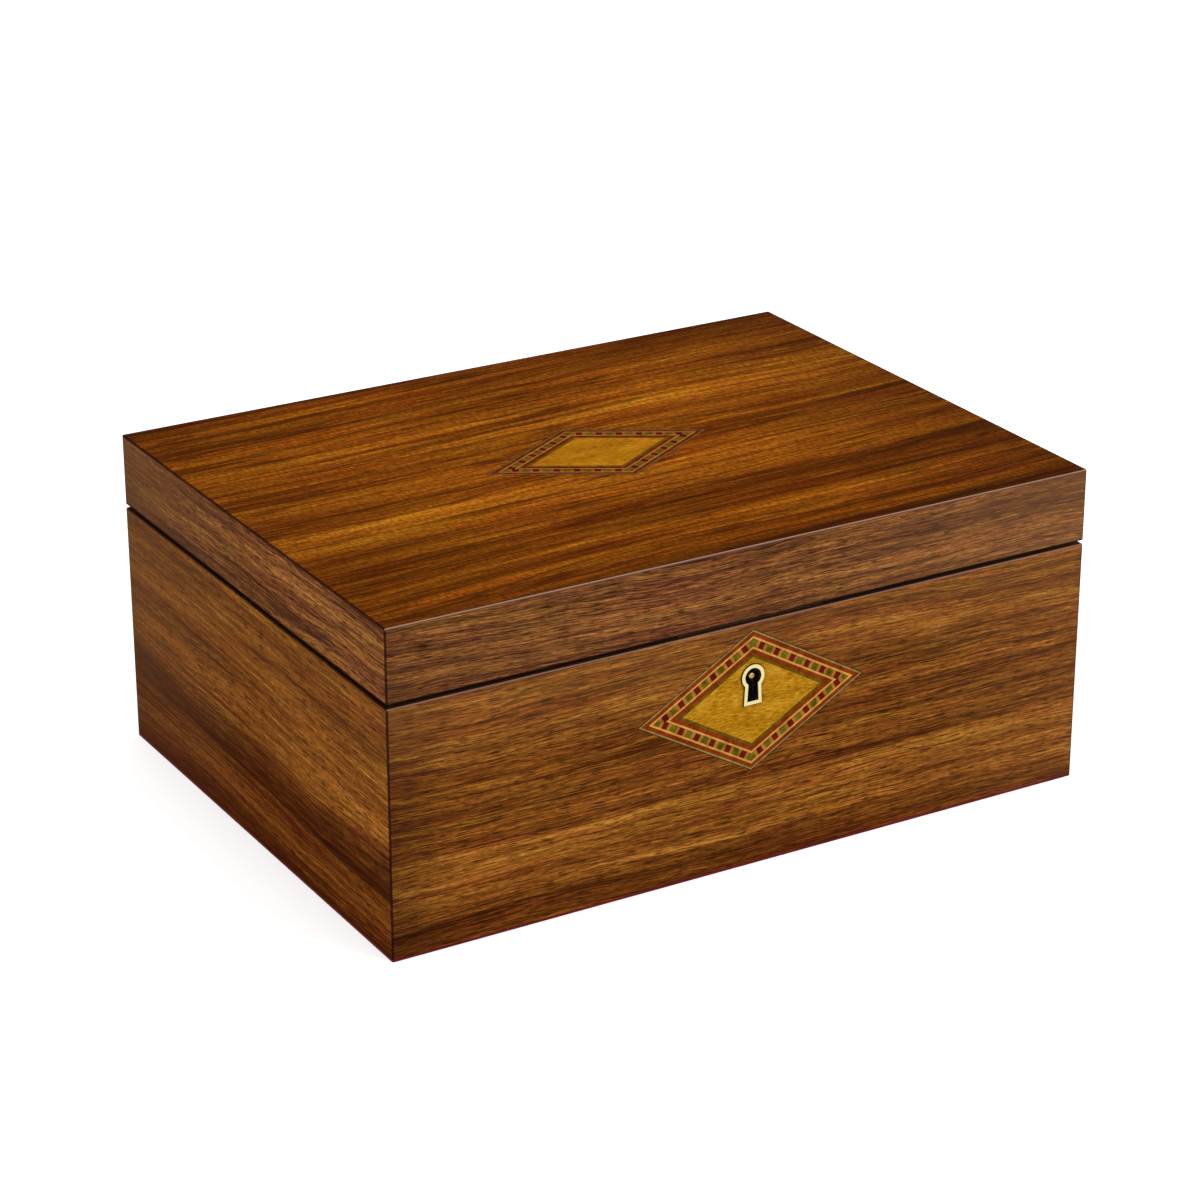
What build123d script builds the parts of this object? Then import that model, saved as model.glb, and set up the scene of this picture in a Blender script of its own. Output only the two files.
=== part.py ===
"""Musical jewelry box: a mitred, walnut-veneered case on a felt base, a hinged lid with a mirror,
diamond inlays of banded marquetry, a box lock behind a brass keyhole, a velvet interior with ring
rolls, and an 18-note movement with its winding key in a well under the floor.

Millimetres. The origin is the middle of the base on the table. +X is right, +Y is back, +Z is up.
The box is closed and unlocked."""

import os
from math import asin, atan2, cos, degrees, hypot, pi, radians, sin, sqrt, tan

from build123d import *

# Case and lid, outside
box_width = 260.0
box_depth = 192.0
case_height = 85.2  # table to the rim of the case
parting_gap = 1.1
lid_height = 25.2
case_wall = 9.0
lid_wall = 8.4
lid_panel_thickness = 7.0
veneer_thickness = 0.7
felt_thickness = 0.8
floor_thickness = 9.0
edge_round = 0.6
veneer_round = 0.45

# Diamond inlays, measured across their corners, and the strips of their banding from the outside in
inlay_length = 85.4
inlay_breadth = 49.4
inlay_rim_margin = 2.2  # from the case's rim down to the diamond's top corner
banding_strips = (0.6, 1.5, 0.6, 2.8, 0.6, 1.5, 0.8)

# Keyhole and its brass escutcheon
keyhole_below_rim = 18.6  # from the case's rim down to the key pin
keyhole_radius = 3.0
keyhole_neck_width = 3.3
keyhole_foot_width = 4.3
keyhole_drop = 8.4  # from the key pin to the foot of the slot
escutcheon_rim = 1.2
escutcheon_depth = 2.4
escutcheon_proud = 0.4

# Box lock and the strike on the lid
lock_height = 30.0
lock_depth = 6.2
lock_setback = 3.4  # wood left in front of the lock
lock_plate = 1.0
lock_play = 0.2
selvedge_ear = 5.0  # how far the selvedge runs past each side of the lock
selvedge_thickness = 1.2
selvedge_proud = 0.5
selvedge_front = 2.0
strike_clearance = 0.1
prong_spacing = 24.0
prong_thickness = 1.6
prong_breadth = 3.4
prong_length = 9.3
prong_slot_play = 0.5
eye_breadth = 2.2
eye_height = 3.2
eye_foot = 1.1  # metal under the eye
bolt_thickness = 1.6
bolt_finger_height = 2.4
bolt_bar_height = 4.0
bolt_arm_width = 2.5
bolt_travel = 4.0
bolt_gap = 0.5
bolt_end_room = 1.2  # from the bolt's end to the lock's side
talon_width = 4.0
talon_depth = 1.6
bolt_ledge = 1.2  # thickness of the ledges under the bolt
key_bit_room = 7.0  # free width for the key's bit, each side of the key pin
key_pin_radius = 1.0
key_pin_recess = 1.8  # how far its tip stays behind the front face

# Stop hinges
hinge_spacing = 150.0
hinge_length = 34.0
hinge_leaf_width = 7.6
hinge_leaf_thickness = 1.0
hinge_leaf_clearance = 0.1
knuckle_radius = 1.6
knuckle_count = 5
knuckle_play = 0.2
hinge_pin_radius = 0.8
running_clearance = 0.05
lid_open_angle = 97.0
stop_tail_length = 4.4
stop_tail_thickness = 1.3
hinge_relief = 0.6  # room in the wood round a barrel

# Wood screws: head radius, head depth, shank radius, length
brass_screw = (1.5, 0.7, 0.8, 7.0)
bed_screw = (2.2, 1.2, 1.2, 8.0)
comb_screw = (1.7, 0.9, 1.0, 6.0)
leaf_screw_spacing = 20.0
plate_screw_inset = 2.6

# Lining
liner_thickness = 1.6
liner_lip = 5.8  # how far the liner stands above the rim
liner_round = 0.7
divider_thickness = 3.2
divider_round = 1.4
divider_height = 50.0
ring_bay_depth = 52.4
partition_offset = -36.0
pad_thickness = 3.0
pad_round = 1.2
pad_corner_radius = 1.5
fit_gap = 0.3
ring_bed_height = 32.0
ring_slot = 0.7  # the slit between two rolls
ring_roll_height = 11.0
ring_roll_count = 4
ring_roll_end_round = 2.0
mirror_width = 210.0
mirror_depth = 140.0
mirror_thickness = 2.5
mirror_frame_lap = 3.0
lid_lining_thickness = 4.0
lid_lining_clearance = 0.4
lid_lining_round = 1.0

# Clear cover over the movement
cover_thickness = 2.0
cover_height = 32.0  # floor to its underside
ledge_size = 3.0

# Musical movement, from its own origin at floor level under the cylinder's left end
bed_left = 31.0
bed_right = 32.0
bed_front = 27.5
bed_back = 23.5
bed_thickness = 3.0
bed_corner_radius = 3.0
bed_screw_inset = 3.6
bed_side_room = 2.5
bed_front_room = 8.6
bed_back_room = 2.4
arbor_radius = 0.75
cylinder_radius = 6.4
cylinder_left = -1.0
cylinder_length = 21.0
bridge_foot = 7.0
cylinder_wall = 1.0
pin_height = 0.5
pin_width = 0.35
notes_per_tooth = 5
tune_steps = 24
tooth_stride = 7  # steps of the tune from one tooth's first note to the next one's
note_stride = 5
comb_teeth = 18
comb_pitch = 1.1
comb_tooth_width = 0.8
comb_tooth_thickness = 0.8
comb_base_depth = 7.0
comb_base_thickness = 1.6
comb_bass_length = 12.0
comb_treble_length = 8.0
comb_shoulder_lap = 1.0  # how far the thin shoulder runs into the thick base
comb_tooth_lap = 0.5
comb_tip_gap = 0.12
spring_housing_radius = 12.0
spring_housing_height = 8.6
spring_housing_wall = 0.7
mainspring_turns = 4
mainspring_strip = 0.35
winding_arbor_radius = 1.5
great_hub_radius = 3.2
great_hub_rise = 0.4  # the hub's top above the crown teeth
great_wheel_room = 0.6  # from the spring housing up to the great wheel
wheel_gap = 0.1
collar_radius = 2.6
collar_height = 1.0
pressure_angle = 20.0
addendum = 0.9  # tooth height above and below the pitch line, in modules
dedendum = 1.2
backlash = 0.16  # the share of a tooth's breadth left free
crown_module = 0.5
crown_teeth = 48
crown_face = 1.6
crown_disc_thickness = 1.2
cylinder_pinion_teeth = 12
cylinder_pinion_face = 2.0
cylinder_pinion_room = 1.6  # from the pinion to the bridge
train_module = 0.4
cylinder_wheel_teeth = 40
governor_pinion_teeth = 10
governor_wheel_teeth = 30
wheel_face = 1.2
wheel_side_room = 0.4
governor_wheel_room = 0.84  # from the frame's foot up to the governor wheel
worm_core_radius = 1.15
worm_throw = 0.35
worm_length = 5.4
fan_radius = 5.6
fan_height = 5.6
fan_blade = 0.35
fan_hub_radius = 1.3
fan_clearance = 0.8
brake_radius = 2.0
brake_thickness = 1.2
pivot_radius = 0.6
pivot_depth = 1.0  # how far a pivot goes into its bearing
frame_plate = 0.8
frame_clearance = 0.3
bearing_hub_radius = 2.6
post_width = 1.8
key_wing_span = 24.0
key_wing_height = 5.6
key_wing_thickness = 1.6
key_hub_radius = 3.0
key_hub_rise = 0.8  # the hub's top above the wings
key_below_bed = 1.8
key_socket_depth = 5.4
key_well_radius = 16.0
stop_rod_radius = 0.8
stop_travel = 4.0
stop_arm = 13.4
stop_gap = 0.2
lever_pivot_z = 7.0
lever_thickness = 1.0
lever_width = 1.8
lever_hub_radius = 1.6
lever_tip_radius = 1.2
finger_width = 1.0

# Places worked out from the sizes above
lid_bottom = case_height + parting_gap
lid_top = lid_bottom + lid_height
veneer_bottom = lid_top - veneer_thickness
lid_ceiling = veneer_bottom - lid_panel_thickness
floor_top = felt_thickness + floor_thickness
inlay_centre_height = case_height - inlay_rim_margin - inlay_breadth / 2
keyhole_height = case_height - keyhole_below_rim
inner_width = box_width - 2 * case_wall
inner_depth = box_depth - 2 * case_wall
lined_width = inner_width - 2 * liner_thickness
lined_depth = inner_depth - 2 * liner_thickness
liner_top = case_height + liner_lip
front_face = -box_depth / 2
hinge_height = case_height + parting_gap / 2
hinge_back = box_depth / 2
divider_top = floor_top + divider_height
movement_bay_width = bed_left + bed_right + 2 * bed_side_room
movement_bay_depth = bed_front + bed_back + bed_front_room + bed_back_room
main_divider_right = lined_width / 2 - movement_bay_width
main_divider_left = main_divider_right - divider_thickness
bay_divider_back = lined_depth / 2 - movement_bay_depth
ring_divider_front = -lined_depth / 2 + ring_bay_depth
ring_divider_back = ring_divider_front + divider_thickness
movement_x = main_divider_right + bed_side_room + bed_left
movement_y = lined_depth / 2 - bed_back_room - bed_back
cover_bottom = floor_top + cover_height
lid_lining_bottom = lid_ceiling - lid_lining_thickness

os.makedirs("parts", exist_ok=True)


def save(name, shape):
    export_step(shape, f"parts/{name}.step")


def block(x_low, x_high, y_low, y_high, z_low, z_high):
    """A box from its six faces."""
    centre = ((x_low + x_high) / 2, (y_low + y_high) / 2, (z_low + z_high) / 2)
    return Pos(*centre) * Box(x_high - x_low, y_high - y_low, z_high - z_low)


def rod(radius, x, y, z_low, z_high):
    """An upright cylinder."""
    return Pos(x, y, (z_low + z_high) / 2) * Cylinder(radius, z_high - z_low)


def rod_x(radius, x_low, x_high, y, z):
    """A cylinder along X."""
    return Pos((x_low + x_high) / 2, y, z) * Rot(0, 90, 0) * Cylinder(radius, x_high - x_low)


def rod_y(radius, x, y_low, y_high, z):
    """A cylinder along Y."""
    return Pos(x, (y_low + y_high) / 2, z) * Rot(90, 0, 0) * Cylinder(radius, y_high - y_low)


def flat(points):
    """A face in XY through these points."""
    return make_face(Polyline(*points, close=True))


def screw(sizes):
    """A countersunk wood screw, driven along -Z, with the top of its head at the origin."""
    head_radius, head_depth, shank_radius, length = sizes
    profile = Polyline(
        (0, 0), (head_radius, 0), (shank_radius, -head_depth), (shank_radius, -length + shank_radius),
        (0, -length), close=True,
    )
    return revolve(Plane.XZ * make_face(profile), Axis.Z)


# Mitred boards: a rounded ring cut at its corners along 45 degrees
def mitre(side, width, depth, wall):
    """The wedge of the plan that belongs to one side of a mitred frame."""
    spare = wall / 2
    along, across = (width, depth) if side in ("front", "back") else (depth, width)
    far = along / 2 + spare
    near = along / 2 - wall - spare
    out = across / 2 + spare
    inward = across / 2 - wall - spare
    wedge = flat([(-far, -out), (far, -out), (near, -inward), (-near, -inward)])
    turn = {"front": 0, "right": 90, "back": 180, "left": 270}[side]
    return Rot(0, 0, turn) * wedge


def mitred_board(side, wall, z_low, z_high, rounded):
    """One board of a frame. Its outer edge at the rounded end, top or bottom, is eased."""
    outline = RectangleRounded(box_width, box_depth, edge_round)
    ring = Pos(0, 0, z_low) * extrude(outline, z_high - z_low)
    faces = ring.faces().sort_by(Axis.Z)
    eased = faces[-1] if rounded == "top" else faces[0]
    ring = fillet(eased.edges(), edge_round)
    ring -= block(
        -box_width / 2 + wall, box_width / 2 - wall, -box_depth / 2 + wall, box_depth / 2 - wall,
        z_low - wall, z_high + wall,
    )
    wedge = Pos(0, 0, z_low - wall) * extrude(
        mitre(side, box_width, box_depth, wall), z_high - z_low + 2 * wall
    )
    return ring & wedge


# Diamonds, drawn flat in XY round the origin
def diamond(inset=0.0):
    """The inlay's outline, drawn in by a distance square to its sides."""
    half_length = inlay_length / 2
    half_breadth = inlay_breadth / 2
    to_side = half_length * half_breadth / hypot(half_length, half_breadth)
    scale = 1 - inset / to_side
    x, y = half_length * scale, half_breadth * scale
    return flat([(x, 0), (0, y), (-x, 0), (0, -y)])


def inlay_banding():
    """The strips round the field, each a closed frame with mitred corners."""
    frames = []
    inset = 0.0
    for width in banding_strips:
        frames.append(extrude(diamond(inset) - diamond(inset + width), veneer_thickness))
        inset += width
    return frames


def inlay_field():
    return extrude(diamond(sum(banding_strips)), veneer_thickness)


def on_front(shape, height):
    """Stands a flat shape up on the front face, with its bottom side against the board."""
    return Pos(0, front_face + veneer_thickness, height) * Rot(90, 0, 0) * shape


def on_lid(shape):
    return Pos(0, 0, veneer_bottom) * shape


# Keyhole: a circle over a slot that widens downwards, drawn flat with the key pin at the origin
def keyhole(grow=0.0):
    radius = keyhole_radius + grow
    neck = keyhole_neck_width / 2 + grow
    foot = keyhole_foot_width / 2 + grow
    drop = keyhole_drop + grow
    slot = flat([(-neck, 0), (neck, 0), (foot, -drop), (-foot, -drop)])
    return Circle(radius) + slot


def keyhole_prism(grow, y_low, y_high):
    shape = extrude(keyhole(grow), y_high - y_low)
    return Pos(0, y_high, keyhole_height) * Rot(90, 0, 0) * shape


# Lock
left_arm = -(prong_spacing / 2 + prong_thickness / 2 + bolt_gap + bolt_travel + bolt_arm_width)
lock_half = bolt_end_room + lock_plate - left_arm
selvedge_half = lock_half + selvedge_ear
lock_top = case_height + selvedge_proud - selvedge_thickness
lock_bottom = lock_top - lock_height
lock_front = front_face + lock_setback
lock_back = lock_front + lock_depth
selvedge_y = (front_face + selvedge_front, lock_back)
bolt_y = (lock_front + lock_plate + lock_back - lock_plate) / 2
strike_bottom = case_height + selvedge_proud + strike_clearance
strike_top = strike_bottom + selvedge_thickness
strike_back = front_face + lid_wall - strike_clearance
prong_bottom = strike_bottom - prong_length
eye_bottom = prong_bottom + eye_foot
finger_bottom = eye_bottom + (eye_height - bolt_finger_height) / 2
bar_top = prong_bottom - bolt_gap
plate_screw_x = selvedge_half - plate_screw_inset
plate_screw_y = sum(selvedge_y) / 2


def selvedge_screws():
    top = case_height + selvedge_proud
    return [Pos(s * plate_screw_x, plate_screw_y, top) * screw(brass_screw) for s in (-1, 1)]


def strike_screws():
    return [
        Pos(s * plate_screw_x, (selvedge_y[0] + strike_back) / 2, strike_bottom)
        * Rot(180, 0, 0)
        * screw(brass_screw)
        for s in (-1, 1)
    ]


def make_lock():
    half = lock_half
    body = block(-half, half, lock_front + lock_plate, lock_back, lock_bottom, lock_top)
    body -= block(
        -half + lock_plate, half - lock_plate, lock_front, lock_back - lock_plate,
        lock_bottom + lock_plate, lock_top + lock_plate,
    )
    # Two ledges carry the bolt's bar, clear of the key's bit.
    ledge_top = bar_top - bolt_bar_height - running_clearance
    for x_low, x_high in ((-half + lock_plate, -key_bit_room), (key_bit_room, half - lock_plate)):
        body += block(
            x_low, x_high, lock_front + lock_plate, lock_back - lock_plate,
            ledge_top - bolt_ledge, ledge_top,
        )
    selvedge = block(
        -selvedge_half, selvedge_half, *selvedge_y, lock_top, case_height + selvedge_proud
    )
    for s in (-1, 1):
        play = prong_thickness / 2 + prong_slot_play
        reach = prong_breadth / 2 + prong_slot_play
        x = s * prong_spacing / 2
        selvedge -= block(
            x - play, x + play, bolt_y - reach, bolt_y + reach,
            lock_top - 1, case_height + selvedge_proud + 1,
        )
    selvedge -= selvedge_screws()
    save("lock_case", body + selvedge)

    cover = block(-half, half, lock_front, lock_front + lock_plate, lock_bottom, lock_top)
    cover -= keyhole_prism(0, lock_front - 1, lock_front + lock_plate + 1)
    save("lock_cover", cover)

    save("lock_key_pin", rod_y(
        key_pin_radius, 0, front_face + key_pin_recess, lock_back - lock_plate, keyhole_height
    ))

    # The bolt is one plate: a bar with a notch for the key's bit, and two arms whose fingers
    # slide through the eyes of the strike.
    finger_reach = bolt_arm_width + bolt_travel
    right_arm = left_arm + prong_spacing
    plate = Pos(0, bolt_y, 0) * Rot(90, 0, 0) * extrude(
        flat([
            (left_arm, bar_top - bolt_bar_height),
            (-talon_width / 2, bar_top - bolt_bar_height),
            (-talon_width / 2, bar_top - bolt_bar_height + talon_depth),
            (talon_width / 2, bar_top - bolt_bar_height + talon_depth),
            (talon_width / 2, bar_top - bolt_bar_height),
            (right_arm + bolt_arm_width, bar_top - bolt_bar_height),
            (right_arm + bolt_arm_width, finger_bottom),
            (right_arm + finger_reach, finger_bottom),
            (right_arm + finger_reach, finger_bottom + bolt_finger_height),
            (right_arm, finger_bottom + bolt_finger_height),
            (right_arm, bar_top),
            (left_arm + bolt_arm_width, bar_top),
            (left_arm + bolt_arm_width, finger_bottom),
            (left_arm + finger_reach, finger_bottom),
            (left_arm + finger_reach, finger_bottom + bolt_finger_height),
            (left_arm, finger_bottom + bolt_finger_height),
        ]),
        bolt_thickness / 2, both=True,
    )
    save("lock_bolt", plate)


def make_strike():
    plate = block(
        -selvedge_half, selvedge_half, selvedge_y[0], strike_back, strike_bottom, strike_top
    )
    for s in (-1, 1):
        x = s * prong_spacing / 2
        prong = block(
            x - prong_thickness / 2, x + prong_thickness / 2,
            bolt_y - prong_breadth / 2, bolt_y + prong_breadth / 2,
            prong_bottom, strike_bottom + selvedge_thickness / 2,
        )
        prong -= block(
            x - prong_thickness, x + prong_thickness,
            bolt_y - eye_breadth / 2, bolt_y + eye_breadth / 2,
            eye_bottom, eye_bottom + eye_height,
        )
        plate += prong
    plate -= strike_screws()
    save("lid_strike", plate)


# Hinges: section in the YZ plane, with the pin's axis at the back face of the box
def hinge_rod(radius, x_low, x_high):
    return rod_x(radius, x_low, x_high, hinge_back, hinge_height)


def knuckle_span(index):
    width = hinge_length / knuckle_count
    return (
        -hinge_length / 2 + index * width + knuckle_play / 2,
        -hinge_length / 2 + (index + 1) * width - knuckle_play / 2,
    )


def leaf_screws(side, x):
    """The two screws of one leaf, down into the case or up into the lid."""
    turn = 0 if side == "case" else 180
    sign = -1 if side == "case" else 1
    return [
        Pos(x + s * leaf_screw_spacing / 2, hinge_back - hinge_leaf_width / 2 - knuckle_radius / 2,
            hinge_height + sign * hinge_leaf_clearance / 2)
        * Rot(turn, 0, 0)
        * screw(brass_screw)
        for s in (-1, 1)
    ]


def leaf(side, x):
    """One leaf: a plate let into the edge of the wood, its knuckles, and a tail behind the pin
    that meets the other leaf's tail when the lid is open."""
    sign = -1 if side == "case" else 1
    own = range(0, knuckle_count, 2) if side == "case" else range(1, knuckle_count, 2)
    others = [i for i in range(knuckle_count) if i not in own]
    near = sign * hinge_leaf_clearance / 2
    far = near + sign * hinge_leaf_thickness
    shape = Pos(x, 0, 0) * block(
        -hinge_length / 2, hinge_length / 2, hinge_back - hinge_leaf_width, hinge_back,
        hinge_height + min(near, far), hinge_height + max(near, far),
    )
    # The tail lies along the line at half the opening angle behind the pin.
    half_angle = radians(lid_open_angle / 2)
    along = (cos(half_angle), sign * sin(half_angle))
    square = (-sin(half_angle), sign * cos(half_angle))

    def tail_bar(start, x_low, x_high):
        def point(t, s):
            return (hinge_back + t * along[0] + s * square[0],
                    hinge_height + t * along[1] + s * square[1])

        gap = hinge_leaf_clearance / 2
        corners = [
            point(start, gap),
            point(stop_tail_length, gap),
            point(stop_tail_length, gap + stop_tail_thickness),
            point(start, gap + stop_tail_thickness),
        ]
        section = Plane.YZ * flat(corners)
        return Pos(x_low, 0, 0) * extrude(section, x_high - x_low)

    clear_radius = knuckle_radius + knuckle_play
    for i in others:
        low, high = knuckle_span(i)
        shape -= hinge_rod(clear_radius, x + low - knuckle_play, x + high + knuckle_play)
    shape += tail_bar(clear_radius + knuckle_play, x - hinge_length / 2, x + hinge_length / 2)
    for i in own:
        low, high = knuckle_span(i)
        shape += hinge_rod(knuckle_radius, x + low, x + high)
        shape += tail_bar(hinge_pin_radius, x + low, x + high)
    bore = hinge_pin_radius if side == "case" else hinge_pin_radius + running_clearance
    shape -= hinge_rod(bore, x - hinge_length, x + hinge_length)
    shape -= leaf_screws(side, x)
    return shape


def hinge_mortises(side):
    """What both leaves, both barrels and their screws take out of the wood of the case or lid."""
    sign = -1 if side == "case" else 1
    depth = hinge_leaf_clearance / 2 + hinge_leaf_thickness
    cut = []
    for s in (-1, 1):
        x = s * hinge_spacing / 2
        cut.append(Pos(x, 0, 0) * block(
            -hinge_length / 2, hinge_length / 2, hinge_back - hinge_leaf_width, hinge_back + 1,
            hinge_height + min(0, sign * depth), hinge_height + max(0, sign * depth),
        ))
        reach = hinge_length / 2 + knuckle_play
        cut.append(hinge_rod(knuckle_radius + hinge_relief, x - reach, x + reach))
        cut += leaf_screws(side, x)
    return cut


def make_hinges():
    places = (-hinge_spacing / 2, hinge_spacing / 2)
    reach = hinge_length / 2
    pins = [hinge_rod(hinge_pin_radius, x - reach, x + reach) for x in places]
    save("hinge_pins", Compound(children=pins))
    for side, plate_screws in (("case", selvedge_screws()), ("lid", strike_screws())):
        save(f"hinge_{side}_leaves", Compound(children=[leaf(side, x) for x in places]))
        screws = plate_screws + leaf_screws(side, places[0]) + leaf_screws(side, places[1])
        save(f"{side}_screws", Compound(children=screws))


# Case
def bed_screws():
    places = [
        (x, y)
        for x in (-bed_left + bed_screw_inset, bed_right - bed_screw_inset)
        for y in (-bed_front + bed_screw_inset, bed_back - bed_screw_inset)
    ]
    return [
        Pos(movement_x + x, movement_y + y, floor_top + bed_thickness) * screw(bed_screw)
        for x, y in places
    ]


def make_case():
    for side in ("left", "right"):
        save(f"{side}_panel", mitred_board(side, case_wall, felt_thickness, case_height, "top"))

    front = mitred_board("front", case_wall, felt_thickness, case_height, "top")
    front -= on_front(extrude(diamond(), veneer_thickness + 1), inlay_centre_height)
    front -= keyhole_prism(escutcheon_rim, front_face - 1, lock_front + 1)
    inside = front_face + 2 * case_wall
    front -= block(-lock_half, lock_half, lock_front, inside, lock_bottom, case_height + 1)
    front -= block(-selvedge_half, selvedge_half, selvedge_y[0], inside, lock_top, case_height + 1)
    front -= selvedge_screws()
    save("front_panel", front)

    back = mitred_board("back", case_wall, felt_thickness, case_height, "top")
    back -= hinge_mortises("case")
    save("back_panel", back)

    floor = block(
        -inner_width / 2, inner_width / 2, -inner_depth / 2, inner_depth / 2,
        felt_thickness, floor_top,
    )
    well_x = movement_x + spring_x
    floor -= rod(key_well_radius, well_x, movement_y, 0, floor_top + 1)
    floor -= bed_screws()
    save("floor_board", floor)

    felt = extrude(RectangleRounded(box_width, box_depth, edge_round), felt_thickness)
    felt -= rod(key_well_radius, well_x, movement_y, -1, floor_top)
    save("felt_base", felt)


def make_front_inlay():
    banding = [on_front(frame, inlay_centre_height) for frame in inlay_banding()]
    save("front_inlay_banding", Compound(children=banding))
    cut = keyhole_prism(escutcheon_rim, front_face - 1, lock_front)
    save("front_inlay_field", on_front(inlay_field(), inlay_centre_height) - cut)
    proud_face = front_face - escutcheon_proud
    escutcheon = keyhole_prism(escutcheon_rim, proud_face, proud_face + escutcheon_depth)
    escutcheon -= keyhole_prism(0, proud_face - 1, lock_front)
    save("keyhole_escutcheon", escutcheon)


# Lid
def make_lid():
    for side in ("left", "right"):
        save(f"lid_{side}_rail", mitred_board(side, lid_wall, lid_bottom, veneer_bottom, "bottom"))
    front = mitred_board("front", lid_wall, lid_bottom, veneer_bottom, "bottom")
    front -= block(
        -selvedge_half, selvedge_half, selvedge_y[0], front_face + 2 * lid_wall,
        lid_bottom - 1, strike_top,
    )
    front -= strike_screws()
    save("lid_front_rail", front)
    back = mitred_board("back", lid_wall, lid_bottom, veneer_bottom, "bottom")
    back -= hinge_mortises("lid")
    save("lid_back_rail", back)

    half_width = box_width / 2 - lid_wall
    half_depth = box_depth / 2 - lid_wall
    panel = block(-half_width, half_width, -half_depth, half_depth, lid_ceiling, veneer_bottom)
    save("lid_panel", panel)

    veneer = on_lid(extrude(RectangleRounded(box_width, box_depth, edge_round), veneer_thickness))
    veneer = fillet(veneer.faces().sort_by(Axis.Z)[-1].edges(), veneer_round)
    veneer -= on_lid(extrude(diamond(), 2 * veneer_thickness))
    save("lid_veneer", veneer)
    save("lid_inlay_banding", Compound(children=[on_lid(frame) for frame in inlay_banding()]))
    save("lid_inlay_field", on_lid(inlay_field()))

    lining = block(
        -half_width + lid_lining_clearance, half_width - lid_lining_clearance,
        -half_depth + lid_lining_clearance, half_depth - lid_lining_clearance,
        lid_lining_bottom, lid_ceiling,
    )
    lining -= block(
        -mirror_width / 2 - fit_gap, mirror_width / 2 + fit_gap,
        -mirror_depth / 2 - fit_gap, mirror_depth / 2 + fit_gap,
        lid_ceiling - mirror_thickness, lid_ceiling + 1,
    )
    lining -= block(
        -mirror_width / 2 + mirror_frame_lap, mirror_width / 2 - mirror_frame_lap,
        -mirror_depth / 2 + mirror_frame_lap, mirror_depth / 2 - mirror_frame_lap,
        lid_lining_bottom - 1, lid_ceiling,
    )
    rims = lining.faces().filter_by(Plane.XY).sort_by(Axis.Z)[0]
    save("lid_lining", fillet(rims.edges(), lid_lining_round))
    save("lid_mirror", block(
        -mirror_width / 2, mirror_width / 2, -mirror_depth / 2, mirror_depth / 2,
        lid_ceiling - mirror_thickness, lid_ceiling,
    ))


# Velvet-covered lining, dividers, pads and ring rolls
def rounded_top(board, radius, axis):
    """Rounds the two top edges of a board that runs along an axis."""
    top = board.faces().sort_by(Axis.Z)[-1]
    return fillet(top.edges().filter_by(axis), radius)


def rounded_pad(x_low, x_high, y_low, y_high, z_low, z_high):
    """A soft pad: its corners and its top edges are drawn in."""
    pad = block(x_low, x_high, y_low, y_high, z_low, z_high)
    pad = fillet(pad.edges().filter_by(Axis.Z), pad_corner_radius)
    return fillet(pad.faces().sort_by(Axis.Z)[-1].edges(), pad_round)


def make_lining():
    half_width = inner_width / 2
    half_depth = inner_depth / 2
    sides = []
    for s in (-1, 1):
        inside, outside = sorted((s * (half_width - liner_thickness), s * half_width))
        sides.append(rounded_top(block(
            inside, outside, -half_depth + liner_thickness, half_depth - liner_thickness,
            floor_top, liner_top,
        ), liner_round, Axis.Y))
    save("side_liners", Compound(children=sides))
    save("back_liner", rounded_top(block(
        -half_width, half_width, half_depth - liner_thickness, half_depth, floor_top, liner_top
    ), liner_round, Axis.X))
    front = rounded_top(block(
        -half_width, half_width, -half_depth, -half_depth + liner_thickness, floor_top, liner_top
    ), liner_round, Axis.X)
    front -= block(
        -selvedge_half - fit_gap, selvedge_half + fit_gap,
        -half_depth - 1, -half_depth + liner_thickness + 1,
        lock_bottom - fit_gap, case_height + selvedge_proud + fit_gap,
    )
    save("front_liner", front)


def make_dividers():
    half_depth = lined_depth / 2
    right_wall = lined_width / 2
    save("main_divider", rounded_top(block(
        main_divider_left, main_divider_right, -half_depth, half_depth, floor_top, divider_top
    ), divider_round, Axis.Y))
    save("movement_divider", rounded_top(block(
        main_divider_right, right_wall, bay_divider_back - divider_thickness, bay_divider_back,
        floor_top, divider_top,
    ), divider_round, Axis.X))
    save("ring_divider", rounded_top(block(
        -right_wall, main_divider_left, ring_divider_front, ring_divider_back, floor_top, divider_top
    ), divider_round, Axis.X))
    save("short_divider", rounded_top(block(
        partition_offset - divider_thickness / 2, partition_offset + divider_thickness / 2,
        ring_divider_back, half_depth, floor_top, divider_top,
    ), divider_round, Axis.Y))
    bays = [
        (-right_wall, partition_offset - divider_thickness / 2, ring_divider_back, half_depth),
        (partition_offset + divider_thickness / 2, main_divider_left, ring_divider_back, half_depth),
        (main_divider_right, right_wall, -half_depth, bay_divider_back - divider_thickness),
    ]
    top = floor_top + pad_thickness
    pads = [
        rounded_pad(left + fit_gap, right - fit_gap, front + fit_gap, back - fit_gap, floor_top, top)
        for left, right, front, back in bays
    ]
    save("floor_pads", Compound(children=pads))


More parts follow.
